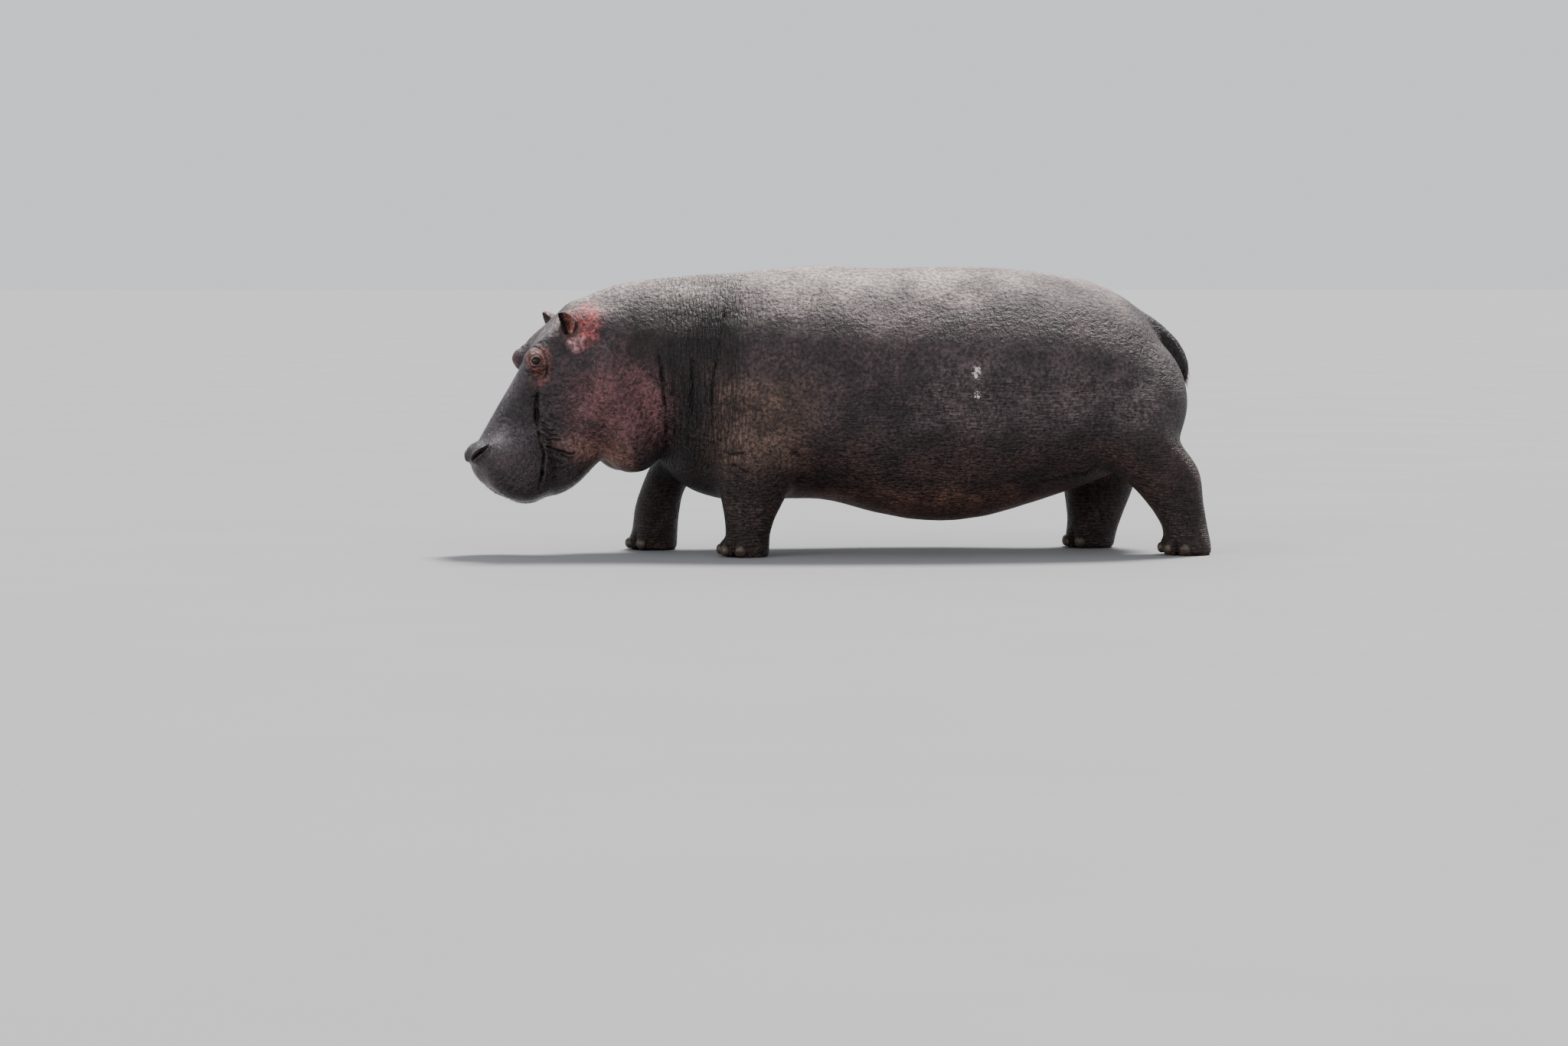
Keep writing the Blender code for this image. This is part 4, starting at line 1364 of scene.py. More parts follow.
@dataclass
class Ear:
    """One small ear, drawn out of the hide: an oval cup on a short stem, open to the side.

    A disc of the hide becomes the ear. Its middle is the bottom of the cup, a ring halfway out is the
    rim, and the rest is the back of the ear down to the head.
    """

    side: Side
    pose: Pose
    root: tuple[float, float] = (0.050, -0.010)  # u and v of the disc's middle
    tip: tuple[float, float, float] = (0.021, -0.088, 0.204)
    notch: tuple[float, float, float] = (0.092, 0.010, 0.186)
    fore_width: float = 0.007  # from the line between tip and notch to the front of the rim
    rear_width: float = 0.056
    cup_depth: float = 0.030
    rim_thickness: float = 0.0085
    disc: float = 0.042
    blend: float = 0.020
    rim_share: float = 0.50  # how far out of the disc the rim lies
    stem: tuple[float, float, float] = (-0.25, -0.42, 1.0)  # the way that it leaves the head
    facing: tuple[float, float, float] = (0.30, -0.10, 1.0)  # the way that the cup opens

    def placed(self, points: Array) -> tuple[Array, Array, Array, Array]:
        """Finds the disc on the hide.

        Args:
            points: Places on the hide in the head's axes.

        Returns:
            The disc's middle, the two directions in its plane (towards the tip, and across), and the
            direction away from the head.
        """
        u, v, w = points.T
        outwards = w * self.side.value
        near = (np.hypot(u - self.root[0], v - self.root[1]) < 0.012) & (outwards > 0.05)
        middle = self.side.mirrored((*self.root, outwards[near].max()))
        out = self.side.mirrored(self.stem)
        out /= np.linalg.norm(out)
        along = square_to(self.side.mirrored(self.tip) - middle, out)
        return middle, along, np.cross(out, along) * self.side.value, out

    def drawn_out(self, points: Array) -> tuple[Array, Array]:
        """Pulls the ear out of the hide.

        Args:
            points: Places on the hide in the world.

        Returns:
            The moved places, and for each its place in the ear: below 1 inside the cup, 1 at the rim,
            2 at the foot of its back, and 3 or more beyond it.
        """
        head = self.pose.head(self.pose.straight(points))
        middle, along, across, out = self.placed(head)
        away = head - middle
        flat = np.stack((away @ along, away @ across), axis=1)
        radius = np.hypot(flat[:, 0], flat[:, 1])
        rows = np.nonzero((radius < self.disc + self.blend) & (away @ out > -0.05))[0]
        part = radius[rows] / self.disc
        bearing = np.arctan2(flat[rows, 1], flat[rows, 0])
        tip, notch = self.side.mirrored(self.tip), self.side.mirrored(self.notch)
        upwards = (tip - notch) / np.linalg.norm(tip - notch)
        facing = square_to(self.side.mirrored(self.facing), upwards)
        sideways = np.cross(facing, upwards) * self.side.value
        lean = (1.0 - np.cos(bearing)) / 2.0  # 0 at the tip, 1 at the notch
        half = np.where(bearing > 0.0, self.fore_width, self.rear_width)
        wide = half * np.sin(bearing) * (1.0 + 0.12 * np.cos(bearing))
        rim = tip + (notch - tip) * lean[:, None] + sideways * wide[:, None]
        rim = rim + facing * (0.008 * np.sin(bearing) * (bearing > 0.0))[:, None]
        bottom = (tip + notch) / 2 - sideways * 0.018 - facing * self.cup_depth - upwards * 0.010
        foot = head[rows]
        inner = np.clip(part / self.rim_share, 0.0, 1.0)[:, None]
        hollow = bottom + (rim - bottom) * inner
        hollow = hollow - facing * (self.cup_depth * 0.55 * np.sin(np.pi * inner) * (1.0 - inner) ** 0.3)
        folds = 0.0050 * np.cos(bearing * 6.0 + 5.0 * inner[:, 0])[:, None] * np.sin(np.pi * inner) ** 0.7
        hollow = hollow + facing * folds
        outer = np.clip((part - self.rim_share) / (1.0 - self.rim_share), 0.0, 1.0)[:, None]
        back = rim - facing * self.rim_thickness
        waist = (back + foot) / 2 - facing * 0.010 + (foot - back) * 0.15
        first = back + (waist - back) * outer
        second = waist + (foot - waist) * outer
        behind = first + (second - first) * outer
        moved = np.where(part[:, None] < self.rim_share, hollow, behind)
        changed = points.copy()
        changed[rows] = self.pose.head_to_world(moved)
        zone = np.full(len(points), BEYOND)
        past_rim = 1.0 + (part - self.rim_share) / (1.0 - self.rim_share)
        zone[rows] = np.where(part < self.rim_share, part / self.rim_share, past_rim)
        return changed, zone


# ---- bristles ----
@dataclass
class BristleField:
    """Short stiff hairs that Geometry Nodes plant on a patch of hide."""

    name: str
    length: float
    thickness: float
    per_area: float  # how many a square metre holds
    seed: int
    spread: float = 0.35  # how far each strays from the way that they lie
    droop: float = 0.35  # how far the tip hangs over, as a share of the length
    shortest: float = 0.55  # the least and the greatest share of the length that one has
    longest: float = 1.15

    def tree(self, material: bpy.types.Material) -> bpy.types.NodeTree:
        """Builds the node tree: scatter roots, stand a bent spike on each, and make it all mesh.

        Args:
            material: What the bristles are made of.

        Returns:
            The tree, with named inputs for its sizes.
        """
        tree = bpy.data.node_groups.new(self.name + "_tree", "GeometryNodeTree")
        face = tree.interface
        face.new_socket("Hide", in_out="INPUT", socket_type="NodeSocketGeometry")
        for title in ("Per Area", "Length", "Thickness", "Spread"):
            face.new_socket(title, in_out="INPUT", socket_type="NodeSocketFloat")
        face.new_socket("Seed", in_out="INPUT", socket_type="NodeSocketInt")
        face.new_socket("Bristles", in_out="OUTPUT", socket_type="NodeSocketGeometry")

        bench = Bench(tree)
        node = bench.node
        given = node("NodeGroupInput").outputs
        share = node("GeometryNodeInputNamedAttribute", {"Name": "bristle_share"}, data_type="FLOAT")
        lie = node("GeometryNodeInputNamedAttribute", {"Name": "bristle_lie"}, data_type="FLOAT_VECTOR")
        density = bench.times(share.outputs["Attribute"], given["Per Area"])
        roots = node(
            "GeometryNodeDistributePointsOnFaces",
            {"Mesh": given["Hide"], "Density": density, "Seed": given["Seed"]},
            distribute_method="RANDOM",
        )
        spike = node(
            "GeometryNodeMeshCone",
            {"Vertices": 4, "Side Segments": 4, "Radius Top": 0.0, "Radius Bottom": given["Thickness"],
             "Depth": given["Length"]},
            fill_type="NONE",
        )
        place = node("GeometryNodeInputPosition").outputs[0]
        height = node("ShaderNodeSeparateXYZ", {0: place}).outputs["Z"]
        lean = bench.times(bench.times(height, height), self.droop / self.length)
        offset = node("ShaderNodeCombineXYZ", {"X": lean}).outputs[0]
        bent = node("GeometryNodeSetPosition", {"Geometry": spike.outputs["Mesh"], "Offset": offset})
        stray = node(
            "FunctionNodeRandomValue",
            {"Min": (-1.0, -1.0, -1.0), "Max": (1.0, 1.0, 1.0), "Seed": given["Seed"]},
            data_type="FLOAT_VECTOR",
        )
        some = node(
            "ShaderNodeVectorMath", {0: stray.outputs["Value"], "Scale": given["Spread"]}, operation="SCALE"
        )
        aim = node("ShaderNodeVectorMath", {0: lie.outputs["Attribute"], 1: some.outputs[0]}, operation="ADD")
        turn = node("FunctionNodeAlignRotationToVector", {"Vector": aim.outputs[0]}, axis="Z")
        size = node(
            "FunctionNodeRandomValue", {2: self.shortest, 3: self.longest, "Seed": given["Seed"]},
            data_type="FLOAT",
        )
        planted = node(
            "GeometryNodeInstanceOnPoints",
            {"Points": roots.outputs["Points"], "Instance": bent.outputs["Geometry"],
             "Rotation": turn.outputs["Rotation"], "Scale": size.outputs[1]},
        )
        real = node("GeometryNodeRealizeInstances", {0: planted.outputs[0]})
        painted = node("GeometryNodeSetMaterial", {0: real.outputs[0], "Material": material})
        node("NodeGroupOutput", {"Bristles": painted.outputs[0]})
        return tree

    def plant(
        self, hide: bpy.types.Object, share: Array, lie: Array, material: bpy.types.Material
    ) -> bpy.types.Object:
        """Plants the bristles.

        Args:
            hide: The piece that they grow from.
            share: How thickly they grow at each of its points, from 0 to 1.
            lie: The way they point there.
            material: What they are made of.

        Returns:
            The bristles as one plain mesh.
        """
        shape = bmesh.new()
        shape.from_mesh(hide.data)
        shape.verts.ensure_lookup_table()
        share_layer = shape.verts.layers.float.new("bristle_share")
        lie_layer = shape.verts.layers.float_vector.new("bristle_lie")
        for vertex in shape.verts:
            vertex[share_layer] = share[vertex.index]
            vertex[lie_layer] = lie[vertex.index]
        bare = [vertex for vertex in shape.verts if share[vertex.index] <= 0.0]
        bmesh.ops.delete(shape, geom=bare, context="VERTS")
        bristles = object_from(self.name, shape)
        tree = self.tree(material)
        modifier = bristles.modifiers.new("bristles", "NODES")
        modifier.node_group = tree
        values = {
            "Per Area": self.per_area,
            "Length": self.length,
            "Thickness": self.thickness,
            "Spread": self.spread,
            "Seed": self.seed,
        }
        for item in tree.interface.items_tree:
            if item.in_out == "INPUT" and item.name in values:
                modifier[item.identifier] = values[item.name]
        bake_modifiers(bristles)
        self.close_roots(bristles)
        self.map_to(bristles, hide)
        return bristles

    def close_roots(self, bristles: bpy.types.Object) -> None:
        """Closes each spike at its root and merges its tip.

        Args:
            bristles: The bristles.
        """
        shape = bmesh.new()
        shape.from_mesh(bristles.data)
        bmesh.ops.remove_doubles(shape, verts=shape.verts, dist=1e-6)
        holes = [edge for edge in shape.edges if edge.is_boundary]
        bmesh.ops.holes_fill(shape, edges=holes, sides=8)
        bmesh.ops.recalc_face_normals(shape, faces=shape.faces)
        shape.to_mesh(bristles.data)
        shape.free()
        bristles.data.shade_smooth()

    def map_to(self, bristles: bpy.types.Object, hide: bpy.types.Object, patch: float = 0.003) -> None:
        """Gives each bristle a small patch of the hide's own map, at its root's place.

        Args:
            bristles: The bristles.
            hide: What they grow from, with its map.
            patch: The patch's width in the map.
        """
        hide_points = read_points(hide.data)
        uv = np.zeros(len(hide.data.loops) * 2, np.float32)
        hide.data.uv_layers[BAKE_MAP].data.foreach_get("uv", uv)
        spot = np.zeros((len(hide_points), 2))
        spot[read_corners(hide.data)] = uv.reshape(-1, 2)
        tree = KDTree(len(hide_points))
        for index, point in enumerate(hide_points):
            tree.insert(point, index)
        tree.balance()
        mesh = bristles.data
        points = read_points(mesh)
        leader = np.arange(len(points))  # for each point, the lowest number that its bristle has
        firsts, seconds = read_edges(mesh).T
        for _ in range(12):
            low = np.minimum(leader[firsts], leader[seconds])
            np.minimum.at(leader, firsts, low)
            np.minimum.at(leader, seconds, low)
        place = np.zeros((len(points), 2))
        for first in np.unique(leader):
            rows = np.nonzero(leader == first)[0]
            root = points[rows].mean(axis=0)
            _, nearest, _ = tree.find(root)
            share = (np.arange(len(rows)) % 5) / 5.0
            place[rows] = spot[nearest] + patch * np.column_stack((share, 1.0 - share)) - patch / 2
        layer = mesh.uv_layers.get(BAKE_MAP) or mesh.uv_layers.new(name=BAKE_MAP)
        layer.data.foreach_set("uv", place[read_corners(mesh)].astype(np.float32).ravel())


# ---- finishes ----
class Bench:
    """A workbench for the nodes of one tree."""

    def __init__(self, tree: bpy.types.NodeTree) -> None:
        """Takes the tree."""
        self.tree = tree

    def node(self, kind: str, inputs: dict | None = None, **settings: object) -> bpy.types.Node:
        """Adds a node.

        Args:
            kind: Its type.
            inputs: Values or sockets for its inputs, by name or number.
            **settings: Its own properties.

        Returns:
            The node.
        """
        made = self.tree.nodes.new(kind)
        for key, value in settings.items():
            setattr(made, key, value)
        for key, value in (inputs or {}).items():
            if isinstance(value, Socket):
                self.tree.links.new(value, made.inputs[key])
            else:
                made.inputs[key].default_value = value
        return made

    def maths(self, operation: str, first: object, second: object, clamp: bool) -> Socket:
        """Works two values into one, kept from 0 to 1 where it is clamped."""
        made = self.node("ShaderNodeMath", {0: first, 1: second}, operation=operation, use_clamp=clamp)
        return made.outputs[0]

    def times(self, first: object, second: object, clamp: bool = False) -> Socket:
        """The product of two values."""
        return self.maths("MULTIPLY", first, second, clamp)

    def plus(self, first: object, second: object, clamp: bool = False) -> Socket:
        """The sum of two values."""
        return self.maths("ADD", first, second, clamp)


class Paint(Bench):
    """A workbench for one material: how its colour, gloss and relief are put together."""

    def __init__(self, name: str) -> None:
        """Starts a material that holds one Principled shader.

        Args:
            name: The material's name.
        """
        self.material = bpy.data.materials.new(name)
        self.material.use_nodes = True
        super().__init__(self.material.node_tree)
        self.shader = self.tree.nodes["Principled BSDF"]

    def place(self) -> Socket:
        """Where each point lies in the piece."""
        return self.node("ShaderNodeTexCoord").outputs["Object"]

    def zones(self, name: str) -> list[Socket]:
        """The red, green, blue and alpha shares of a colour that the mesh holds.

        Args:
            name: The attribute's name.

        Returns:
            The four sockets.
        """
        stored = self.node("ShaderNodeAttribute", attribute_name=name)
        parts = self.node("ShaderNodeSeparateColor", {0: stored.outputs["Color"]})
        return [*parts.outputs[:3], stored.outputs["Alpha"]]

    def mix(self, share: object, first: object, second: object, blend: str = "MIX") -> Socket:
        """Mixes two colours.

        Args:
            share: How much of the second.
            first: A colour or socket.
            second: Another.
            blend: How they mix.

        Returns:
            The mixed colour's socket.
        """
        sides = {"Factor": share, 6: first, 7: second}
        return self.node("ShaderNodeMix", sides, data_type="RGBA", blend_type=blend).outputs[2]

    def shade(self, colour: object, by: object) -> Socket:
        """Multiplies a colour by another."""
        return self.mix(1.0, colour, by, "MULTIPLY")

    def spread(self, value: object, low: float, high: float, start: float = 0.0, end: float = 1.0) -> Socket:
        """Stretches a range of values onto another, softly and within its ends.

        Args:
            value: A socket.
            low: Where the range starts.
            high: Where it ends.
            start: What low becomes.
            end: What high becomes.

        Returns:
            The new value's socket.
        """
        ends = {"Value": value, "From Min": low, "From Max": high, "To Min": start, "To Max": end}
        return self.node("ShaderNodeMapRange", ends, interpolation_type="SMOOTHSTEP").outputs[0]

    def noise(self, place: object, scale: float, detail: float = 3.0, roughness: float = 0.55) -> Socket:
        """Cloudy values about a half."""
        sizes = {"Vector": place, "Scale": scale, "Detail": detail, "Roughness": roughness}
        return self.node("ShaderNodeTexNoise", sizes).outputs["Fac"]

    def cracks(self, place: object, scale: float) -> Socket:
        """The distance to the nearest line of an irregular net."""
        sizes = {"Vector": place, "Scale": scale}
        return self.node("ShaderNodeTexVoronoi", sizes, feature="DISTANCE_TO_EDGE").outputs["Distance"]

    def stretched(self, place: object, scale: tuple[float, float, float]) -> Socket:
        """The place with its axes stretched."""
        return self.node("ShaderNodeMapping", {"Vector": place, "Scale": scale}).outputs[0]

    def shaken(self, start: object, place: object, scale: float, reach: float) -> Socket:
        """Moves a place by cloudy amounts.

        Args:
            start: What is moved.
            place: Where the clouds are read.
            scale: How many of them a metre holds.
            reach: How far the strongest move it.

        Returns:
            The moved place's socket.
        """
        clouds = self.node("ShaderNodeTexNoise", {"Vector": place, "Scale": scale, "Detail": 2.0})
        amount = {0: clouds.outputs["Color"], "Scale": reach}
        move = self.node("ShaderNodeVectorMath", amount, operation="SCALE")
        return self.node("ShaderNodeVectorMath", {0: start, 1: move.outputs[0]}, operation="ADD").outputs[0]

    def grey(self, value: object) -> Socket:
        """A value as a grey colour."""
        return self.node("ShaderNodeCombineColor", {0: value, 1: value, 2: value}).outputs[0]

    def finished(
        self,
        colour: object,
        roughness: object,
        height: object = None,
        rise: float = 0.0,
        strength: float = 1.0,
    ) -> bpy.types.Material:
        """Gives the shader what was mixed.

        Args:
            colour: The colour's socket.
            roughness: The roughness's socket.
            height: A height that the surface rises to, or None where it stays smooth.
            rise: How far it rises, in metres.
            strength: How strongly it shows.

        Returns:
            The material.
        """
        links = {"Base Color": colour, "Roughness": roughness}
        if height is not None:
            relief = {"Height": height, "Strength": strength, "Distance": rise}
            links["Normal"] = self.node("ShaderNodeBump", relief).outputs[0]
        for key, socket in links.items():
            self.tree.links.new(socket, self.shader.inputs[key])
        return self.material


@dataclass(frozen=True)
class HideFinish:
    """Bare thick hide: mottled, finely cracked, dusty on top, damp at the muzzle, with painted shade in its
    cracks, wrinkles and pits.
    """

    name: str = "hide"
    darker: Colour = (0.58, 0.55, 0.56, 1.0)  # what the tint is multiplied by in its dark clouds
    lighter: Colour = (1.42, 1.38, 1.36, 1.0)  # and in its light ones
    # the painted shade of the pits, multiplied into the tint
    pit_shade: Colour = (0.30, 0.28, 0.28, 1.0)  # and in small pits
    # painted shade in the wrinkles' grooves
    upright_wrinkle_shade: Colour = (0.012, 0.009, 0.009, 1.0)
    level_wrinkle_shade: Colour = (0.014, 0.009, 0.008, 1.0)
    dust: Colour = (0.420, 0.405, 0.395, 1.0)
    scurf: Colour = (0.24, 0.20, 0.20, 1.0)  # stray pale specks
    dried_mud: Colour = (0.62, 0.60, 0.57, 1.0)
    splashes: tuple[tuple[float, float, float, float], ...] = (
        # dried mud on the left flank: place and radius
        (0.626, -0.524, 0.886, 0.017),
        (0.622, -0.528, 0.858, 0.011),
        (0.628, -0.539, 0.767, 0.012),
    )
    dry: float = 0.50  # roughness
    damp: float = 0.24
    relief: float = 0.0080

    def material(self) -> bpy.types.Material:
        """Builds the material.

        Returns:
            The material.
        """
        paint = Paint(self.name)
        place = paint.place()
        # the stored tint already holds painted shade in the folds and a painted sheen on the forehead
        tint = paint.node("ShaderNodeAttribute", attribute_name="hide_tint").outputs["Color"]
        dusty, upright, damp, level = paint.zones("hide_zones")
        swayed = paint.shaken(place, place, 22.0, 0.012)
        netted = paint.shaken(swayed, place, 90.0, 0.008)
        fine = paint.cracks(netted, 110.0)
        broad = paint.cracks(netted, 40.0)
        up_lines = paint.cracks(paint.stretched(swayed, (1.0, 0.20, 0.14)), 70.0)
        level_lines = paint.cracks(paint.stretched(swayed, (0.14, 0.20, 1.0)), 76.0)
        patches = paint.noise(place, 6.0, 5.0, 0.6)
        blots = paint.noise(place, 58.0, 4.0, 0.65)
        lumps = paint.noise(swayed, 48.0, 3.0, 0.6)
        grain = paint.noise(place, 220.0, 2.0)
        specks = paint.noise(place, 70.0, 4.0, 0.75)

        clouds = paint.spread(patches, 0.30, 0.70)
        colour = paint.mix(clouds, paint.shade(tint, self.darker), paint.shade(tint, self.lighter))
        calm = paint.spread(damp, 0.0, 1.0, 0.0, 0.55)
        speckled = paint.mix(calm, paint.grey(paint.spread(blots, 0.36, 0.64, 0.42, 1.62)), (1, 1, 1, 1))
        colour = paint.shade(colour, speckled)
        # painted shade along the fine and the broad cracks
        colour = paint.shade(colour, paint.grey(paint.spread(fine, 0.0, 0.30, 0.82, 1.04)))
        colour = paint.shade(colour, paint.grey(paint.spread(broad, 0.0, 0.10, 0.86, 1.0)))
        # painted shade along the wrinkle grooves in their zones
        for lines, width, zone, strength, dark in (
            (up_lines, 0.16, upright, 0.62, self.upright_wrinkle_shade),
            (level_lines, 0.14, level, 0.50, self.level_wrinkle_shade),
        ):
            share = paint.times(paint.times(paint.spread(lines, width, 0.0), zone), strength)
            colour = paint.mix(share, colour, dark)
        powder = paint.times(paint.times(paint.spread(specks, 0.46, 0.66), dusty, True), 0.85)
        colour = paint.mix(powder, colour, self.dust)
        # painted shade in the small pits, where the relief is low
        pits = paint.times(paint.spread(specks, 0.45, 0.33), 0.75)
        colour = paint.mix(pits, colour, paint.shade(colour, self.pit_shade))
        colour = paint.mix(paint.times(paint.spread(specks, 0.62, 0.72), 0.40), colour, self.scurf)
        for *middle, radius in self.splashes:
            away = paint.node("ShaderNodeVectorMath", {0: swayed, 1: middle}, operation="DISTANCE")
            frayed = paint.plus(away.outputs["Value"], paint.spread(specks, 0.3, 0.7, -0.014, 0.014))
            colour = paint.mix(paint.spread(frayed, radius, radius * 0.6), colour, self.dried_mud)

        rough = paint.spread(damp, 0.0, 1.0, self.dry, self.damp)
        rough = paint.plus(rough, paint.spread(blots, 0.3, 0.7, -0.10, 0.10))
        rough = paint.plus(rough, paint.times(dusty, 0.10), True)

        height = paint.spread(fine, 0.0, 0.30, 0.0, 0.10)
        height = paint.plus(height, paint.spread(broad, 0.0, 0.14, 0.0, 0.12))
        for part, share in (
            (paint.times(paint.spread(up_lines, 0.0, 0.20), upright), 0.50),
            (paint.times(paint.spread(level_lines, 0.0, 0.18), level), 0.40),
            (grain, 0.10),
            (lumps, 1.90),
            (specks, 0.70),
        ):
            height = paint.plus(height, paint.times(part, share))
        return paint.finished(colour, rough, height, self.relief)


@dataclass(frozen=True)
class EyeFinish:
    """A wet eyeball, nearly black: dark brown iris with rays, darker oval pupil, deep brown white."""

    name: str = "eye_wet"
    iris_dark: Colour = (0.007, 0.0035, 0.002, 1.0)
    iris_light: Colour = (0.016, 0.008, 0.004, 1.0)
    iris_edge: Colour = (0.004, 0.0025, 0.002, 1.0)
    white_dark: Colour = (0.016, 0.008, 0.006, 1.0)
    white_light: Colour = (0.034, 0.018, 0.013, 1.0)
    pupil: Colour = (0.002, 0.002, 0.002, 1.0)
    wet: tuple[tuple[str, float], ...] = (
        # a clear film over a dull ball
        ("Specular IOR Level", 0.1), ("Coat Weight", 0.7), ("Coat Roughness", 0.03),
    )

    def material(self) -> bpy.types.Material:
        """Builds the material.

        Returns:
            The material.
        """
        paint = Paint(self.name)
        radial, pupil, rays, _ = paint.zones("eye_zones")
        clouds = paint.noise(paint.place(), 260.0, 3.0)
        iris = paint.mix(rays, self.iris_dark, self.iris_light)
        iris = paint.mix(paint.spread(radial, 0.72, 1.0), iris, self.iris_edge)
        white = paint.mix(paint.spread(clouds, 0.3, 0.7), self.white_dark, self.white_light)
        colour = paint.mix(paint.spread(radial, 0.97, 1.08), iris, white)
        colour = paint.mix(paint.spread(pupil, 1.12, 0.92), colour, self.pupil)
        for key, value in self.wet:
            paint.shader.inputs[key].default_value = value
        return paint.finished(colour, paint.spread(clouds, 0.3, 0.7, 0.035, 0.06), clouds, 0.0001, 0.3)


@dataclass(frozen=True)
class HornFinish:
    """Worn nail horn with fine lengthwise fibres."""

    name: str = "nail_horn"
    dark: Colour = (0.030, 0.023, 0.018, 1.0)
    light: Colour = (0.095, 0.074, 0.056, 1.0)
    fibre: Colour = (0.15, 0.12, 0.09, 1.0)

    def material(self) -> bpy.types.Material:
        """Builds the material.

        Returns:
            The material.
        """
        paint = Paint(self.name)
        place = paint.place()
        fibres = paint.noise(paint.stretched(place, (1.0, 1.0, 0.12)), 330.0, 3.0)
        stains = paint.noise(place, 60.0, 4.0)
        colour = paint.mix(paint.spread(stains, 0.3, 0.7), self.dark, self.light)
        colour = paint.mix(paint.times(paint.spread(fibres, 0.45, 0.7), 0.4), colour, self.fibre)
        rough = paint.spread(fibres, 0.3, 0.7, 0.38, 0.62)
        return paint.finished(colour, rough, paint.plus(fibres, stains), 0.0007, 0.8)


@dataclass(frozen=True)
class BristleFinish:
    """Stiff hair, darker at some roots than at others."""

    name: str = "bristle"
    dark: Colour = (0.020, 0.015, 0.013, 1.0)
    light: Colour = (0.120, 0.095, 0.075, 1.0)

    def material(self) -> bpy.types.Material:
        """Builds the material.

        Returns:
            The material.
        """
        paint = Paint(self.name)
        clouds = paint.noise(paint.place(), 45.0, 2.0)
        colour = paint.mix(paint.spread(clouds, 0.35, 0.65), self.dark, self.light)
        return paint.finished(colour, paint.spread(clouds, 0.3, 0.7, 0.4, 0.6))


@dataclass(frozen=True)
class FloorFinish:
    """A plain pale studio floor."""

    name: str = "studio_floor"
    dark: Colour = (0.287, 0.290, 0.297, 1.0)
    light: Colour = (0.300, 0.303, 0.310, 1.0)

    def material(self) -> bpy.types.Material:
        """Builds the material.

        Returns:
            The material.
        """
        paint = Paint(self.name)
        clouds = paint.noise(paint.place(), 0.8, 3.0)
        colour = paint.mix(clouds, self.dark, self.light)
        return paint.finished(colour, paint.spread(clouds, 0.3, 0.7, 0.75, 0.9))


# ---- the studio ----
@dataclass(frozen=True)
class Lamp:
    """A broad far lamp, so that its light is as strong everywhere."""

    name: str
    towards: tuple[float, float, float]  # where it hangs, seen from the animal
    width: float  # how wide it looks, in degrees: the wider, the softer its shadows
    strength: float
    colour: tuple[float, float, float]

    def hang(self) -> None:
        """Puts it in the scene."""
        lamp = bpy.data.lights.new(self.name, "SUN")
        lamp.angle = math.radians(self.width)
        lamp.energy = self.strength
        lamp.color = self.colour
        holder = bpy.data.objects.new(self.name, lamp)
        holder.rotation_euler = (-Vector(self.towards)).to_track_quat("-Z", "Y").to_euler()
        bpy.context.collection.objects.link(holder)


@dataclass
class Studio:
    """Pale floor, soft light from above and behind, weak fill from the front, and the camera."""

    lamps: tuple[Lamp, ...] = (
        Lamp("overhead", (0.30, 0.42, 1.0), 16.0, 3.7, (1.0, 0.975, 0.94)),
        Lamp("low_fill", (0.1, -1.0, 0.12), 50.0, 0.50, (1.0, 0.98, 0.96)),
        Lamp("front_fill", (-1.0, -0.85, 0.40), 45.0, 0.70, (1.0, 0.98, 0.96)),
    )
    floor_size: float = 600.0
    distance: float = 18.94  # from the camera to the animal's middle plane
    azimuth: float = -3.5  # degrees; the camera looks along +Y at 0
    elevation: float = 3.594  # degrees that it looks down
    aim: tuple[float, float, float] = (-0.2473, -0.0369, 0.1417)
    lens: float = 91.23
    surround: float = 0.55  # how bright the pale walls are
    walls: Colour = (0.93, 0.95, 1.0, 1.0)
    exposure: float = 0.42

    def lay_floor(self) -> None:
        """A wide pale floor."""
        shape = bmesh.new()
        bmesh.ops.create_grid(shape, x_segments=4, y_segments=4, size=self.floor_size / 2)
        floor = object_from("studio_floor", shape)
        floor.data.materials.append(FloorFinish().material())

    def light_all(self) -> None:
        """The lights and the pale surroundings."""
        world = bpy.data.worlds.new("studio")
        world.use_nodes = True
        background = world.node_tree.nodes["Background"]
        background.inputs["Color"].default_value = self.walls
        background.inputs["Strength"].default_value = self.surround
        bpy.context.scene.world = world
        for lamp in self.lamps:
            lamp.hang()

    def place_camera(self) -> None:
        """The camera, at the height and angle of someone standing well back."""
        data = bpy.data.cameras.new("camera")
        data.lens = self.lens
        data.sensor_width = 36.0
        data.clip_end = 1000.0
        camera = bpy.data.objects.new("camera", data)
        away = math.radians(self.azimuth)
        down = math.radians(self.elevation)
        level = self.distance * math.cos(down)
        camera.location = (
            self.aim[0] + level * math.sin(away),
            self.aim[1] - level * math.cos(away),
            self.aim[2] + self.distance * math.sin(down),
        )
        camera.rotation_euler = (math.pi / 2 - down, 0.0, away)
        bpy.context.collection.objects.link(camera)
        bpy.context.scene.camera = camera

    def set_tones(self) -> None:
        """Picks firm darks and a little more light for the finished picture."""
        tones = bpy.context.scene.view_settings
        tones.look = "AgX - Medium High Contrast"
        tones.exposure = self.exposure

    def build(self) -> None:
        """Sets up the whole studio."""
        self.set_tones()
        self.lay_floor()
        self.light_all()
        self.place_camera()


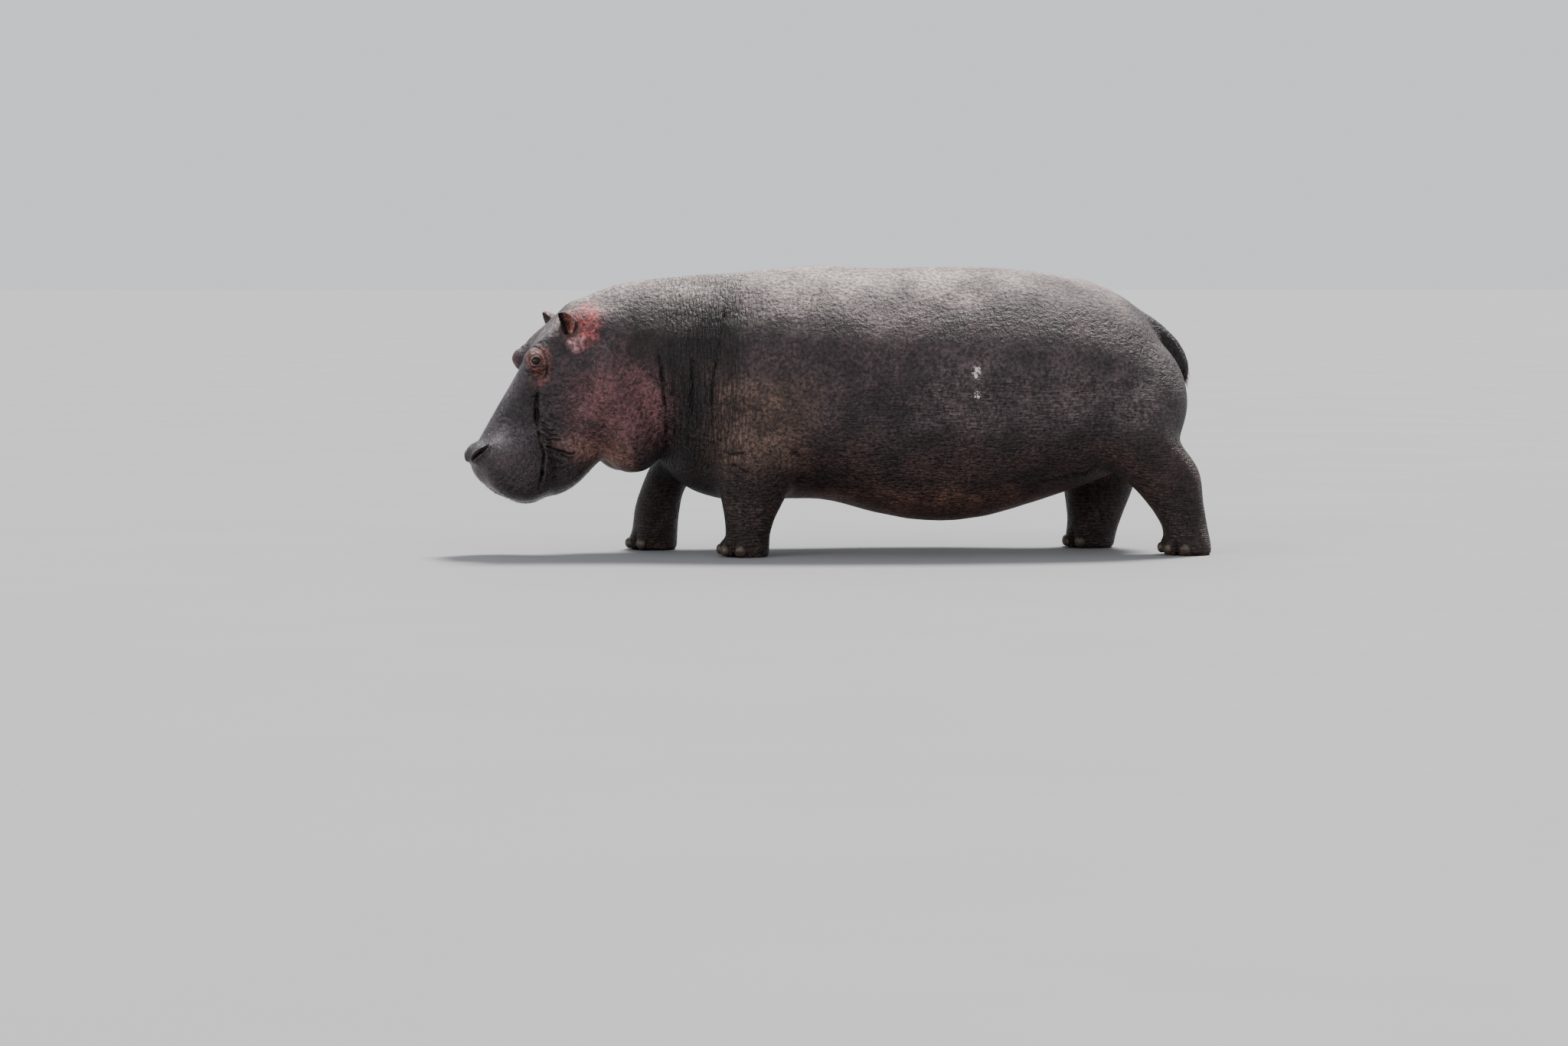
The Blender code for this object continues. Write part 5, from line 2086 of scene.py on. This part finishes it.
# ---- putting it together ----
def settle(piece: bpy.types.Object, slot: str, material: bpy.types.Material | None, *nodes: str) -> None:
    """Finishes a piece: its material, what it rides on and the nodes that it stands for.

    Args:
        piece: The piece.
        slot: The record's material slot; not used.
        material: Its material, or None where it has one.
        *nodes: The nodes that it replaces.
    """
    if material is not None:
        piece.data.materials.clear()
        piece.data.materials.append(material)
    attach(piece, BODY)
    if nodes:
        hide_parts(*nodes)
    piece.data.calc_loop_triangles()
    LOG.info("%s: %d triangles", piece.name, len(piece.data.loop_triangles))


def plant_bristles(hide: bpy.types.Object, maker: Hide) -> None:
    """Plants the sparse hairs of the muzzle, the chin and the tail's tip.

    Args:
        hide: The skin.
        maker: What made it.
    """
    points = read_points(hide.data)
    normals = read_normals(hide.data)
    pose = maker.pose
    u, v, w = pose.head(pose.straight(points)).T
    down = pose.head_to_world(np.column_stack((u + 0.01, v, w))) - points
    material = BristleFinish().material()
    on_head = maker.on_head(points)
    lip = on_head * smooth_step(u, 0.60, 0.70) * smooth_step(v, 0.02, 0.08)
    chin = on_head * smooth_step(u, 0.45, 0.60) * smooth_step(v, 0.22, 0.30) * 0.6
    share = np.clip(np.maximum(lip, chin), 0.0, 1.0)
    share[share < 0.02] = 0.0
    lie = unit(unit(normals) + 0.9 * unit(down))
    muzzle = BristleField("muzzle_bristles", 0.014, 0.00065, 900.0, 3)
    settle(muzzle.plant(hide, share, lie, material), "body_hide", None)

    low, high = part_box("tail")
    near = maker.near_tail(points) * smooth_step(points[:, 2], low[2] + 0.12, low[2] + 0.04)
    near = near * smooth_step(np.abs(points[:, 1]), 0.012, 0.026)
    near[near < 0.05] = 0.0
    hang = unit(unit(normals) * 0.55 + np.array([0.12, 0.0, -1.0]))
    tail = BristleField("tail_bristles", 0.045, 0.0011, 26000.0, 5, spread=0.2)
    settle(tail.plant(hide, near, hang, material), "body_hide", None)


def main() -> None:
    """Builds the animal and its studio, and reports each piece."""
    logging.basicConfig(level=logging.INFO, format="%(message)s")
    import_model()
    pose = Pose.from_eyes(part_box("eye_left"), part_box("eye_right"))
    eyes = {side: EyePlan.from_box(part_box(f"eye_{side.name.lower()}"), pose, side) for side in Side}
    maker = Hide(pose, eyes, [Ear(side, pose) for side in Side])
    hide = maker.build()
    hide_material = HideFinish().material()
    settle(hide, "body_hide", hide_material, *FLESH, "ear_left", "ear_right")
    eye_material = EyeFinish().material()
    for side, plan in eyes.items():
        word = side.name.lower()
        settle(Eyeball(plan, f"eyeball_{word}").build(), "eye", eye_material, f"eye_{word}")
    horn = HornFinish().material()
    for leg in LEGS:
        for number in NAILS:
            node = f"nail_{leg}_{number}"
            settle(Nail(node, f"foot_{leg}").build(), "nail_horn", horn, node)
    plant_bristles(hide, maker)
    Studio().build()


if __name__ == "__main__":
    main()
